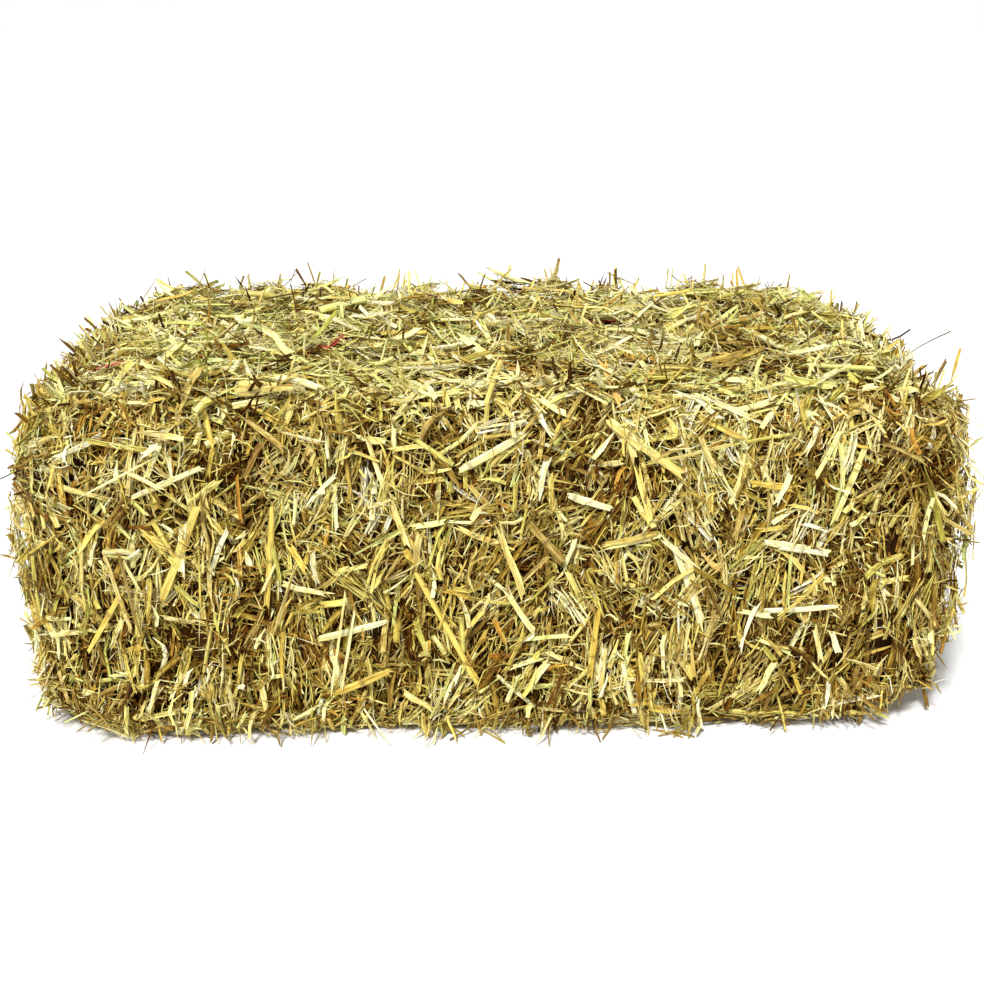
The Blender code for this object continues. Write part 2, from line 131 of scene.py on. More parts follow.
def paint(red, green, blue):
    """A colour as a screen shows it, from 0 to 255, turned into the numbers that nodes use."""
    shares = [value / 255 for value in (red, green, blue)]
    linear = [s / 12.92 if s < 0.04045 else ((s + 0.055) / 1.055) ** 2.4 for s in shares]
    return (*linear, 1.0)


# %% Studio light
KEY_FROM = Vector((-0.30, -0.86, 1.0))
KEY_SPREAD = math.radians(11)
KEY_STRENGTH = 4.28
DOME_STRENGTH = 0.39

key_data = bpy.data.lights.new("key", "SUN")
key_data.angle = KEY_SPREAD
key_data.energy = KEY_STRENGTH
key = bpy.data.objects.new("key", key_data)
bpy.context.scene.collection.objects.link(key)
key.matrix_world = (-KEY_FROM).to_track_quat("-Z", "Y").to_matrix().to_4x4()

world = bpy.data.worlds.new("white_room")
bpy.context.scene.world = world
world.use_nodes = True
room = world.node_tree
dome = room.nodes["Background"]
dome.inputs["Color"].default_value = (1.0, 1.0, 1.0, 1.0)
seen = add(room, "ShaderNodeLightPath").outputs["Is Camera Ray"]
brightness = add(room, "ShaderNodeMapRange", {"Value": seen, "To Min": DOME_STRENGTH, "To Max": 1.0})
room.links.new(brightness.outputs["Result"], dome.inputs["Strength"])
bpy.context.scene.view_settings.view_transform = "Standard"

# %% [markdown]
# ## The floor
#
# A plain pale sheet, large enough to run out of the picture.

# %% Floor
FLOOR_SIZE = 40.0


def new_object(name, bm):
    """A new object at the origin that holds a bmesh."""
    mesh = bpy.data.meshes.new(name)
    bm.to_mesh(mesh)
    bm.free()
    obj = bpy.data.objects.new(name, mesh)
    bpy.context.scene.collection.objects.link(obj)
    return obj


sheet = bmesh.new()
bmesh.ops.create_grid(sheet, x_segments=1, y_segments=1, size=FLOOR_SIZE / 2)
floor = new_object("floor", sheet)
floor_material = bpy.data.materials.new("floor")
floor_material.use_nodes = True
floor_shader = floor_material.node_tree.nodes["Principled BSDF"]
floor_shader.inputs["Base Color"].default_value = (0.93, 0.93, 0.93, 1.0)
floor_shader.inputs["Roughness"].default_value = 0.9
floor.data.materials.append(floor_material)

# %% [markdown]
# ## The finish of dry straw
#
# Ripe straw is golden yellow with a waxy skin. Some stems are bleached nearly white by the sun,
# some stay olive, and rain turns others brown. Each straw carries three numbers: its tint from
# dark to pale, its hue from olive through gold to orange, and a seed that makes its pattern its
# own. One node group makes the patterns and one the colour. The hue acts as a filter over the
# tint, so a dark straw stays dark. The material adds gloss and relief.

# %% A node group for lengthwise streaks, blotches and specks
STREAK_STRETCH = (9.0, 1.1)
FIBRE_STRETCH = (15.0, 0.9)
BLOTCH_STRETCH = (3.0, 4.5)
SPECK_STRETCH = (22.0, 26.0)
MIDDLE_PART = (0.3, 0.7)
SPECK_PART = (0.70, 0.76)
FIBRE_GAP = 0.035


def new_group(name, inputs, outputs):
    """A shader node group with its sockets. Returns the tree and its input node's outputs."""
    tree = bpy.data.node_groups.new(name, "ShaderNodeTree")
    for socket, kind in inputs:
        tree.interface.new_socket(socket, in_out="INPUT", socket_type=f"NodeSocket{kind}")
    for socket, kind in outputs:
        tree.interface.new_socket(socket, in_out="OUTPUT", socket_type=f"NodeSocket{kind}")
    return tree, add(tree, "NodeGroupInput").outputs


def stretched_noise(tree, place, seed, stretch, detail=2.0):
    """Noise on the straw's own map, stretched by one factor across and one along."""
    moved = add(tree, "ShaderNodeVectorMath", {0: place, 1: (*stretch, 1.0)}, operation="MULTIPLY")
    field = add(
        tree,
        "ShaderNodeTexNoise",
        {"Vector": moved.outputs[0], "W": seed, "Scale": 1.0, "Detail": detail},
        noise_dimensions="4D",
    )
    return field.outputs["Fac"]


def spread(tree, value, low, high):
    """Stretches the middle part of a pattern to the whole range from 0 to 1."""
    inputs = {"Value": value, "From Min": low, "From Max": high}
    return add(tree, "ShaderNodeMapRange", inputs).outputs["Result"]


grain, given = new_group(
    "straw_grain",
    (("Place", "Vector"), ("Seed", "Float")),
    (("Streak", "Float"), ("Line", "Float"), ("Blotch", "Float"), ("Speck", "Float")),
)
streak_noise = stretched_noise(grain, given["Place"], given["Seed"], STREAK_STRETCH, 3.0)
streak = spread(grain, streak_noise, *MIDDLE_PART)
# The fibre line marks thin splits between fibres. The material darkens it, partly as the straw's own veins
# and partly as painted shade in the splits.
fibre_noise = stretched_noise(grain, given["Place"], given["Seed"], FIBRE_STRETCH, 1.0)
from_fibre = math_node(grain, "ABSOLUTE", math_node(grain, "SUBTRACT", fibre_noise, 0.5))
fibre_line = spread(grain, from_fibre, FIBRE_GAP, 0.0)
blotch_noise = stretched_noise(grain, given["Place"], given["Seed"], BLOTCH_STRETCH)
blotch = spread(grain, blotch_noise, *MIDDLE_PART)
speck_noise = stretched_noise(grain, given["Place"], given["Seed"], SPECK_STRETCH, 0.0)
speck = spread(grain, speck_noise, *SPECK_PART)
add(grain, "NodeGroupOutput", {"Streak": streak, "Line": fibre_line, "Blotch": blotch, "Speck": speck})

# %% A node group for the colour of a straw
TINTS = (
    (0.00, paint(48, 22, 6)),
    (0.18, paint(105, 71, 21)),
    (0.38, paint(158, 128, 57)),
    (0.56, paint(207, 184, 107)),
    (0.72, paint(236, 221, 147)),
    (0.86, paint(243, 236, 185)),
    (1.00, paint(247, 244, 220)),
)
HUE_FILTERS = (
    (0.00, (0.64, 0.76, 0.36, 1.0)),
    (0.30, (0.94, 0.98, 0.56, 1.0)),
    (0.44, (1.0, 0.99, 0.80, 1.0)),
    (0.54, (1.0, 1.0, 1.0, 1.0)),
    (0.64, (1.0, 0.975, 0.58, 1.0)),
    (0.80, (1.0, 0.87, 0.40, 1.0)),
    (1.00, (0.96, 0.64, 0.26, 1.0)),
)
# One dark brown for darkened ends, joints and specks, which the straw has, and for the painted shade in the
# lines between fibres.
BRUISE_AND_SHADE = paint(62, 38, 18)
STREAK_SWING = 0.34
BLOTCH_SWING = 0.26
HUE_SWING = 0.4


def blend_colours(tree, share, first, second, how="MIX"):
    """The colour between two colours. Both are linked or filled by socket, as a Mix node needs."""
    made = tree.nodes.new("ShaderNodeMix")
    made.data_type = "RGBA"
    made.blend_type = how
    for socket, value in zip((made.inputs[0], made.inputs[6], made.inputs[7]), (share, first, second)):
        if isinstance(value, bpy.types.NodeSocket):
            tree.links.new(value, socket)
        else:
            socket.default_value = value
    return made.outputs[2]


def colour_scale(tree, value, table):
    """The colour that a table of places and colours gives for a value."""
    ramp = add(tree, "ShaderNodeValToRGB", {"Fac": value})
    stops = ramp.color_ramp.elements
    for _ in table[2:]:
        stops.new(0.5)
    for stop, (place, colour) in zip(stops, table):
        stop.position = place
        stop.color = colour
    return ramp.outputs["Color"]


colouring, given = new_group(
    "straw_colour",
    (("Tint", "Float"), ("Hue", "Float"), ("Streak", "Float"), ("Blotch", "Float")),
    (("Colour", "Color"),),
)
streaky = math_node(colouring, "MULTIPLY_ADD", given["Streak"], STREAK_SWING, -STREAK_SWING / 2)
patchy = math_node(colouring, "MULTIPLY_ADD", given["Blotch"], BLOTCH_SWING, -BLOTCH_SWING / 2)
shade = math_node(colouring, "ADD", math_node(colouring, "ADD", given["Tint"], streaky), patchy)
filter_place = math_node(colouring, "MULTIPLY_ADD", given["Hue"], HUE_SWING, 0.5)
skin_colour = colour_scale(colouring, shade, TINTS)
hue_filter = colour_scale(colouring, filter_place, HUE_FILTERS)
tinted = blend_colours(colouring, 1.0, skin_colour, hue_filter, "MULTIPLY")
add(colouring, "NodeGroupOutput", {"Colour": tinted})

# %% The straw material
DARK_END = 0.955
END_BRUISE = 0.45
JOINT_BRUISE = 0.55
SPECK_BRUISE = 0.5
RELIEF_STRENGTH = 0.5
LEAST_ROUGH = 0.38
BLOTCH_ROUGH = 0.22
LEAST_WAX = 0.02
TINT_WAX = 0.42


def attribute(tree, name):
    """The value of a number that each straw carries."""
    return add(tree, "ShaderNodeAttribute", attribute_name=name, attribute_type="GEOMETRY").outputs["Fac"]


def use_group(tree, group, inputs):
    """A node that runs a node group."""
    runner = tree.nodes.new("ShaderNodeGroup")
    runner.node_tree = group
    for socket, value in inputs.items():
        tree.links.new(value, runner.inputs[socket])
    return runner.outputs


def new_straw_material(name, lines, relief_depth, fibrous):
    """Dry straw: lengthwise streaks, dark lines between fibres that are partly painted shade, waxy gloss."""
    material = bpy.data.materials.new(name)
    material.use_nodes = True
    tree = material.node_tree
    shader = tree.nodes["Principled BSDF"]
    place = add(tree, "ShaderNodeUVMap", uv_map="straw").outputs["UV"]
    fine = add(tree, "ShaderNodeVectorMath", {0: place, 1: (fibrous, 1.0, 1.0)}, operation="MULTIPLY")
    patterns = use_group(tree, grain, {"Place": fine.outputs[0], "Seed": attribute(tree, "seed")})
    streak_share = math_node(tree, "MULTIPLY_ADD", patterns["Streak"], fibrous, (1 - fibrous) / 2)
    skin = use_group(tree, colouring, {
        "Tint": attribute(tree, "tint"),
        "Hue": attribute(tree, "hue"),
        "Streak": streak_share,
        "Blotch": patterns["Blotch"],
    })["Colour"]
    along = add(tree, "ShaderNodeSeparateXYZ", {"Vector": place}).outputs["Y"]
    from_middle = math_node(tree, "ABSOLUTE", math_node(tree, "MULTIPLY_ADD", along, 2.0, -1.0))
    near_end = math_node(tree, "MULTIPLY", spread(tree, from_middle, DARK_END, 1.0), END_BRUISE)
    ring = math_node(tree, "MULTIPLY", attribute(tree, "knuckle"), JOINT_BRUISE)
    # Painted shade: the lines between fibres are darkened, partly as the straw's own veins and partly as the
    # shade in the splits.
    crease_shade = math_node(tree, "MULTIPLY", patterns["Line"], lines)
    speck_share = math_node(tree, "MULTIPLY", patterns["Speck"], SPECK_BRUISE)
    bruised_and_shaded = math_node(tree, "MAXIMUM", near_end, ring)
    bruised_and_shaded = math_node(tree, "MAXIMUM", bruised_and_shaded, math_node(tree, "MAXIMUM", crease_shade, speck_share))
    colour = blend_colours(tree, bruised_and_shaded, skin, BRUISE_AND_SHADE)
    height = math_node(tree, "SUBTRACT", patterns["Streak"], patterns["Line"])
    relief = add(tree, "ShaderNodeBump", {
        "Height": height,
        "Strength": RELIEF_STRENGTH,
        "Distance": relief_depth,
    })
    gloss = math_node(tree, "MULTIPLY_ADD", patterns["Blotch"], BLOTCH_ROUGH, LEAST_ROUGH)
    wax = math_node(tree, "MULTIPLY_ADD", attribute(tree, "tint"), TINT_WAX, LEAST_WAX)
    tree.links.new(colour, shader.inputs["Base Color"])
    tree.links.new(gloss, shader.inputs["Roughness"])
    tree.links.new(wax, shader.inputs["Specular IOR Level"])
    tree.links.new(relief.outputs["Normal"], shader.inputs["Normal"])
    return material


# Lines sets how dark the lines between fibres are painted, partly as painted shade in the splits.
straw_material = new_straw_material("straw", lines=0.75, relief_depth=0.0004, fibrous=1.0)
matted_material = new_straw_material("matted_straw", lines=0.9, relief_depth=0.0009, fibrous=2.4)

# %% [markdown]
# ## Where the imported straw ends
#
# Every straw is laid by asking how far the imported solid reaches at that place. A ray shot
# inwards finds it. The solids also carry short stubs that stick out, and a ray that meets
# something thinner than a finger goes on through it.

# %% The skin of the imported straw
STUB_REACH = 0.0235
RAY_START = 0.06
THIN = 0.012
SKIN_STEP = 0.0002
JOINT_CLEAR = 0.0014

body_low = cad_box[0] + Vector((STUB_REACH, STUB_REACH, 0))
body_high = cad_box[1] - Vector((STUB_REACH, STUB_REACH, STUB_REACH))
flake_edges = [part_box(name)[0].x for name in FLAKES] + [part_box(FLAKES[-1])[1].x]
flake_joints = flake_edges[1:-1]
skin_points = []
skin_faces = []
for name in FLAKES:
    start = len(skin_points)
    skin_points += [vert.co.copy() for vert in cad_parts[name].data.vertices]
    skin_faces += [[start + i for i in face.vertices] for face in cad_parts[name].data.polygons]
skin_tree = BVHTree.FromPolygons(skin_points, skin_faces)


def beside_joint(point):
    """The point, moved along the bale so that a ray from it can't slip between two flakes."""
    joint = min(flake_joints, key=lambda x: abs(x - point.x))
    if abs(point.x - joint) >= JOINT_CLEAR:
        return point
    return Vector((joint + math.copysign(JOINT_CLEAR, point.x - joint), point.y, point.z))


def skin_height(point, outward):
    """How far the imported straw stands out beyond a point, not counting thin stubs."""
    point = beside_joint(point)
    travelled = 0.0
    while True:
        start = point + outward * (RAY_START - travelled)
        hit, _, _, distance = skin_tree.ray_cast(start, -outward, 2 * RAY_START)
        if hit is None:
            return -RAY_START
        travelled += distance
        beyond, _, _, thickness = skin_tree.ray_cast(hit - outward * SKIN_STEP, -outward)
        if beyond is None or thickness > THIN:
            return RAY_START - travelled
        travelled += thickness + 2 * SKIN_STEP


print("packed straw from", [round(v, 3) for v in body_low], "to", [round(v, 3) for v in body_high])
print("flakes meet at", [round(x, 3) for x in flake_joints])

# %% [markdown]
# The way out of the bale changes smoothly round its edges. A box with rounded edges gives it. A
# point outside a smaller inner box is pushed away from the nearest point of that inner box.

# %% The outward direction
EDGE_ROUNDING = Vector((0.10, 0.045, 0.072))
BOTTOM_ROUNDING = 0.045

inner_low = Vector((body_low.x + EDGE_ROUNDING.x, body_low.y + EDGE_ROUNDING.y, BOTTOM_ROUNDING))
inner_high = body_high - EDGE_ROUNDING


def outward_at(point):
    """The direction straight out of the bale at a point on or near its skin."""
    pushed = []
    for axis in range(3):
        nearest = min(max(point[axis], inner_low[axis]), inner_high[axis])
        rounding = EDGE_ROUNDING[axis]
        if axis == 2 and point.z < nearest:
            rounding = BOTTOM_ROUNDING
        pushed.append((point[axis] - nearest) / rounding**2)
    return Vector(pushed).normalized()


def flake_at(x):
    """Number of the flake at a place along the bale."""
    return sum(x > joint for joint in flake_joints)


# %% [markdown]
# ## Single straws
#
# A straw is the dry stem of wheat or barley. The baler cuts and crushes it, so the bale holds
# round pieces, flattened ones with a crease, split gutters, ribbons of leaf and fine fibres. A few
# of each kind are modelled once, one unit long and one unit wide, and laid thousands of times.
# Each starts as a cone with equal ends, because a closed straw has an inside and an outside.

# %% Straw shapes: a stem and its cuts
rng = random.Random(31)


def new_stem(sides, cuts, flatness):
    """A closed unit stem along Z, flattened in Y, with level cuts along it."""
    bm = bmesh.new()
    bmesh.ops.create_cone(bm, cap_ends=True, segments=sides, radius1=0.5, radius2=0.5, depth=1)
    bmesh.ops.translate(bm, vec=(0, 0, 0.5), verts=bm.verts)
    bmesh.ops.scale(bm, vec=(1, flatness, 1), verts=bm.verts)
    for height in cuts:
        whole = bm.verts[:] + bm.edges[:] + bm.faces[:]
        bmesh.ops.bisect_plane(bm, geom=whole, plane_co=(0, 0, height), plane_no=(0, 0, 1))
    return bm


def at_height(bm, height):
    """The points of a stem at one level."""
    return [vert for vert in bm.verts if abs(vert.co.z - height) < 1e-4]


def vary(bm, cuts, swing, swell):
    """Shifts and swells each level of a stem a little, as no stalk grows straight."""
    for height in (0, *cuts, 1):
        ring = at_height(bm, height)
        size = 1 + rng.uniform(-swell, swell)
        bmesh.ops.scale(bm, vec=(size, size, 1), verts=ring)
        if 0 < height < 1:
            shift = (rng.uniform(-swing, swing), rng.uniform(-swing, swing), 0)
            bmesh.ops.translate(bm, vec=shift, verts=ring)


def new_fibre(cuts, flatness):
    """A torn fibre: a three-sided stem whose ends are drawn out to points."""
    bm = new_stem(3, cuts, flatness)
    vary(bm, cuts, 0.3, 0.15)
    for height in (0, 1):
        bmesh.ops.pointmerge(bm, verts=at_height(bm, height), merge_co=(0, 0, height))
    return bm


def slant_ends(bm, slope, tear=0.0):
    """Cuts both ends off at a slant, and tears each open in the middle by a chance amount."""
    for height, sign in ((0, 1), (1, -1)):
        slant = slope * rng.uniform(-1, 1)
        notch = tear * rng.random()
        for vert in at_height(bm, height):
            cut = abs(slant) / 2 + vert.co.x * slant + notch * max(0, 1 - abs(vert.co.x) / 0.3)
            vert.co.z += sign * max(cut, 0)


def new_hook(cuts, reach):
    """A curl of fibre: a three-sided stem that bends further and further towards its tip."""
    levels = [(step + 1) / (cuts + 1) for step in range(cuts)]
    bm = new_stem(3, levels, 0.8)
    bmesh.ops.pointmerge(bm, verts=at_height(bm, 1), merge_co=(0, 0, 1))
    for vert in bm.verts:
        along = vert.co.z
        vert.co.x += reach * along**2.4
        vert.co.z -= 0.42 * along**4
    return bm


# %% [markdown]
# A crushed stalk is wide and flat, with a crease down its middle, and shows a thin dark slit at
# its ends. A joint is the thick ring where a leaf grew. The rings of a joint are marked in an
# attribute, so that the material can darken them.

# %% Straw shapes: creases, hollow ends and joints
JOINT_HALF = 0.035


def crease(bm, depth):
    """Presses the middle of a flattened stem in on both sides."""
    for vert in bm.verts:
        if abs(vert.co.x) < 0.2:
            vert.co.y *= 1 - depth


def hollow(bm, wall, depth):
    """Sinks a hole into both ends of a stem."""
    for face in [face for face in bm.faces if abs(face.normal.z) > 0.7]:
        inwards = -math.copysign(depth, face.normal.z)
        bmesh.ops.inset_region(bm, faces=[face], thickness=wall, use_even_offset=True)
        bmesh.ops.translate(bm, vec=(0, 0, inwards), verts=face.verts)


def swell_joint(bm, height, size):
    """Makes the ring of a stem at one level thicker."""
    bmesh.ops.scale(bm, vec=(size, size, 1), verts=at_height(bm, height))


# %% [markdown]
# Gutters and leaves are sheets. A grid is bent or tapered and then given a thickness, which
# leaves it closed all round.

# %% Straw shapes: split stalks and leaves


def new_gutter(cuts, arc, wall):
    """A stalk split lengthwise: a strip bent round Z and made solid."""
    bm = bmesh.new()
    bmesh.ops.create_grid(bm, x_segments=2, y_segments=cuts + 1, size=0.5)
    for vert in bm.verts:
        along, turn = vert.co.y + 0.5, vert.co.x * arc
        vert.co = Vector((math.sin(turn) * 0.5, 0.5 * math.cos(turn) - 0.3, along))
    bmesh.ops.recalc_face_normals(bm, faces=bm.faces)
    bmesh.ops.solidify(bm, geom=bm.faces[:], thickness=wall)
    return bm


def new_leaf(cuts, fold, twist, tip):
    """A dry leaf: a ribbon that narrows to its tip, folded along its rib and twisted."""
    bm = bmesh.new()
    bmesh.ops.create_grid(bm, x_segments=2, y_segments=cuts + 1, size=0.5)
    for vert in bm.verts:
        along = vert.co.y + 0.5
        taper = 1 - (1 - tip) * along**1.6
        swell = 0.7 + 0.3 * math.sin(math.pi * min(along * 1.4, 1))
        width = vert.co.x * taper * swell
        flat = Vector((width, abs(width) * fold, along))
        vert.co = Matrix.Rotation(twist * along, 3, "Z") @ flat
    bmesh.ops.recalc_face_normals(bm, faces=bm.faces)
    bmesh.ops.solidify(bm, geom=bm.faces[:], thickness=0.05)
    return bm


# %% [markdown]
# Each shape becomes an object in a hidden collection. It gets a UV map, across and along the
# straw, a number from 0 to 1 along it for bending, and the joint mark.

# %% The shelf of straw shapes
SHAPE_EDGE = math.radians(75)

shelf = bpy.data.collections.new("straw_shapes")
kinds = {}


def put_on_shelf(family, bm, joint_at=None):
    """Stores one straw shape under its family name."""
    number = sum(len(members) for members in kinds.values())
    bmesh.ops.recalc_face_normals(bm, faces=bm.faces)
    along = bm.verts.layers.float.new("along")
    knuckle = bm.verts.layers.float.new("knuckle")
    uv = bm.loops.layers.uv.new("straw")
    for vert in bm.verts:
        vert[along] = min(max(vert.co.z, 0), 1)
        if joint_at is not None:
            vert[knuckle] = max(0, 1 - abs(vert.co.z - joint_at) / JOINT_HALF)
    for face in bm.faces:
        face.smooth = abs(face.normal.z) < 0.7
        side = 0.5 if face.normal.y < 0 else 0.0
        for loop in face.loops:
            loop[uv].uv = (side + (loop.vert.co.x + 0.5) / 2, min(max(loop.vert.co.z, 0), 1))
    for edge in bm.edges:
        edge.smooth = len(edge.link_faces) == 2 and edge.calc_face_angle(0) < SHAPE_EDGE
    bmesh.ops.triangulate(bm, faces=bm.faces)
    mesh = bpy.data.meshes.new(f"shape_{number:02d}")
    bm.to_mesh(mesh)
    bm.free()
    mesh.materials.append(matted_material if family == "chip" else straw_material)
    obj = bpy.data.objects.new(f"shape_{number:02d}", mesh)
    shelf.objects.link(obj)
    kinds.setdefault(family, []).append((number, len(mesh.polygons)))


for family in ("chip", "bit"):
    for _ in range(4):
        chip = new_stem(3, (), rng.uniform(0.5, 0.8))
        slant_ends(chip, 0.3)
        put_on_shelf(family, chip)
for _ in range(6):
    cuts = (rng.uniform(0.3, 0.7),)
    stick = new_stem(3, cuts, rng.uniform(0.5, 0.9))
    vary(stick, cuts, 0.3, 0.22)
    slant_ends(stick, 0.22)
    put_on_shelf("stick", stick)
for _ in range(8):
    cuts = (rng.uniform(0.2, 0.4), rng.uniform(0.6, 0.8))
    crushed = new_stem(6, cuts, rng.uniform(0.3, 0.44))
    vary(crushed, cuts, 0.22, 0.2)
    crease(crushed, rng.uniform(0.4, 0.75))
    slant_ends(crushed, 0.22, 0.2)
    put_on_shelf("crushed", crushed)
for _ in range(3):
    cuts = (0.5,)
    tube = new_stem(7, cuts, rng.uniform(0.7, 0.95))
    vary(tube, cuts, 0.2, 0.06)
    hollow(tube, 0.1, 0.06)
    put_on_shelf("tube", tube)
for _ in range(3):
    joint_at = rng.uniform(0.3, 0.7)
    cuts = (joint_at - JOINT_HALF, joint_at, joint_at + JOINT_HALF)
    jointed = new_stem(6, cuts, rng.uniform(0.5, 0.7))
    swell_joint(jointed, joint_at, 1.28)
    slant_ends(jointed, 0.04)
    put_on_shelf("jointed", jointed, joint_at)
for _ in range(3):
    gutter = new_gutter(1, rng.uniform(2.4, 3.4), 0.09)
    slant_ends(gutter, 0.15)
    put_on_shelf("gutter", gutter)
for _ in range(5):
    put_on_shelf("leaf", new_leaf(2, rng.uniform(0.1, 0.5), rng.uniform(-2.2, 2.2), rng.uniform(0.1, 0.8)))
for _ in range(3):
    put_on_shelf("fibre", new_fibre((rng.uniform(0.4, 0.6),), rng.uniform(0.5, 1)))
for _ in range(3):
    put_on_shelf("wisp", new_fibre((rng.uniform(0.25, 0.4), rng.uniform(0.6, 0.75)), rng.uniform(0.5, 1)))
for reach in (3.0, -5.0, 8.0):
    put_on_shelf("hook", new_hook(3, reach))
print("shapes:", {family: [faces for _, faces in members] for family, members in kinds.items()})

# %% [markdown]
# ## The lines of the loose stalks
#
# The stalks that catch the eye lie on the outside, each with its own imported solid. The solid's
# points give its two ends, its width and the place of its joint. The coat keeps a little room round
# these lines, so that it doesn't bury them.

# %% The line of a loose stalk
CAD_JOINT_SWELL = 1.28
END_SLICE = 0.0008
SAME_WIDTH = 0.00001


def points_of(name):
    """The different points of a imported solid."""
    found = {tuple(round(value, 6) for value in vert.co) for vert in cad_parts[name].data.vertices}
    return np.array(sorted(found))


def stalk_line(name):
    """The two ends, the width and the joint's share of the length, read from a stalk's solid."""
    points = points_of(name)
    centred = points - points.mean(axis=0)
    direction = np.linalg.svd(centred, full_matrices=False)[2][0]
    along = centred @ direction
    slices = [points[np.abs(along - edge) < END_SLICE] for edge in (along.min(), along.max())]
    ends = [Vector(end_points.mean(axis=0)) for end_points in slices]
    line = (ends[1] - ends[0]).normalized()
    offsets = [Vector(point) - ends[0] for point in points]
    aside = [(offset - line * offset.dot(line)).length for offset in offsets]
    widest = max(aside)
    joint = np.mean([offset.dot(line) for offset, out in zip(offsets, aside) if out > widest - SAME_WIDTH])
    return ends, 2 * widest / CAD_JOINT_SWELL, joint / (ends[1] - ends[0]).length


# %% Room for the loose stalks
STALK_ROOM = 0.010
ROOM_STEP = 0.004

stalk_lines = {name: stalk_line(name) for name in STALKS}
room_trees = {}
for side in ("front", "back", "top", "left", "right"):
    near_points = []
    for name in STALKS:
        if name.split("_")[1] == side:
            (low, high), _, _ = stalk_lines[name]
            steps = round((high - low).length / ROOM_STEP)
            near_points += [low.lerp(high, step / steps) for step in range(steps + 1)]
    if near_points:
        room_trees[side] = KDTree(len(near_points))
        for number, point in enumerate(near_points):
            room_trees[side].insert(point, number)
        room_trees[side].balance()


def room_at(side, skin_place):
    """How close a place on the skin is to a loose stalk: 0 beyond its room, 1 beneath it."""
    if side not in room_trees:
        return 0
    return max(0, 1 - room_trees[side].find(skin_place)[2] / STALK_ROOM)


print("sides with loose stalks:", list(room_trees))

# %% [markdown]
# ## Laying straw on the bale
#
# A place on the bale is picked on one of its six sides with an even spread, so that no bald patch
# is left by chance. The straws lie the way the baler leaves them: along the bale on top, and
# mostly upright on the front and back, in locks that lean together.

# %% Places on the six sides
SIDES = {
    "front": (Vector((1, 0, 0)), Vector((0, 0, 1)), Vector((0, -1, 0))),
    "back": (Vector((-1, 0, 0)), Vector((0, 0, 1)), Vector((0, 1, 0))),
    "top": (Vector((1, 0, 0)), Vector((0, 1, 0)), Vector((0, 0, 1))),
    "bottom": (Vector((1, 0, 0)), Vector((0, -1, 0)), Vector((0, 0, -1))),
    "left": (Vector((0, -1, 0)), Vector((0, 0, 1)), Vector((-1, 0, 0))),
    "right": (Vector((0, 1, 0)), Vector((0, 0, 1)), Vector((1, 0, 0))),
}
SIDE_SHARE = {"front": 1.14, "back": 0.70, "top": 1.04, "bottom": 0.42, "left": 0.8, "right": 0.8}
SPREAD_STEP = (0.7548776662, 0.5698402910)
middle = (body_low + body_high) / 2
half = (body_high - body_low) / 2


def side_size(side):
    """Width and height of one side of the bale."""
    rightward, upward, _ = SIDES[side]
    return 2 * abs(half.dot(rightward)), 2 * abs(half.dot(upward))


def even_places(side, count):
    """Points with an even spread on one side of the bale's box, in a random order."""
    rightward, upward, outward = SIDES[side]
    width, height = side_size(side)
    centre = middle + outward * abs(half.dot(outward))
    start = (rng.random(), rng.random())
    places = []
    for number in range(count):
        u = (start[0] + number * SPREAD_STEP[0]) % 1 - 0.5
        v = (start[1] + number * SPREAD_STEP[1]) % 1 - 0.5
        places.append(centre + rightward * u * width + upward * v * height)
    rng.shuffle(places)
    return places


# %% [markdown]
# Straw leaves the press in tufts. A handful of stalks that were squeezed together share one
# direction, one height and often one colour, and a dark gap parts them from the next handful.
# Every place belongs to the nearest of many scattered tuft centres. Noise at that centre gives the
# tuft its own turn, height and tint, so that all its straws agree.

# %% Tufts
TUFT_LONG = 0.044
TUFT_WIDE = 0.024
TUFT_GAP = 0.20
TUFT_MIX = (Vector((3.7, 1.3, 9.1)), Vector((5.9, 7.7, 2.3)), Vector((8.3, 4.1, 6.7)))
TUFT_TURN = math.radians(70)
TUFT_RISE = 0.011
TUFT_TINT = 0.34
GAP_DEPTH = 0.006


class Tuft(NamedTuple):
    """What the straws of one tuft share, and how far into the gap round it a place lies."""

    turn: float
    height: float
    tint: float
    gap: float


def tuft_at(side, point):
    """The tuft that a place on one side of the bale belongs to."""
    long_axis = 0 if side in ("top", "bottom") else 2
    sizes = [TUFT_LONG if axis == long_axis else TUFT_WIDE for axis in range(3)]
    distances, centres = noise.voronoi(Vector([value / size for value, size in zip(point, sizes)]))
    turn, height, tint = [noise.noise(centres[0] * 3.7 + shift) for shift in TUFT_MIX]
    gap = 1 - min((distances[1] - distances[0]) / TUFT_GAP, 1)
    return Tuft(TUFT_TURN * turn, TUFT_RISE * height - GAP_DEPTH * gap, TUFT_TINT * tint, gap)


# %% The way a straw lies
LOCK_SIZE = 0.06
LOCK_TURN = math.radians(60)
HEADING_STRAY = math.radians(13)
SIDE_LOOSE = {"front": 0.15, "back": 0.15, "top": 0.66, "bottom": 0.3, "left": 0.3, "right": 0.3}
CALM_BELOW = 0.20
CALM_FADE = 0.12
CALM_SHARE = 0.45
LEVEL_ABOVE = 0.27
LEVEL_FADE = 0.08
LEVEL_SHARE = 0.12
LEVEL_MORE = 0.45
FLAKE_LEAN = 14
flake_leans = [math.radians(rng.uniform(-FLAKE_LEAN, FLAKE_LEAN)) for _ in FLAKES]


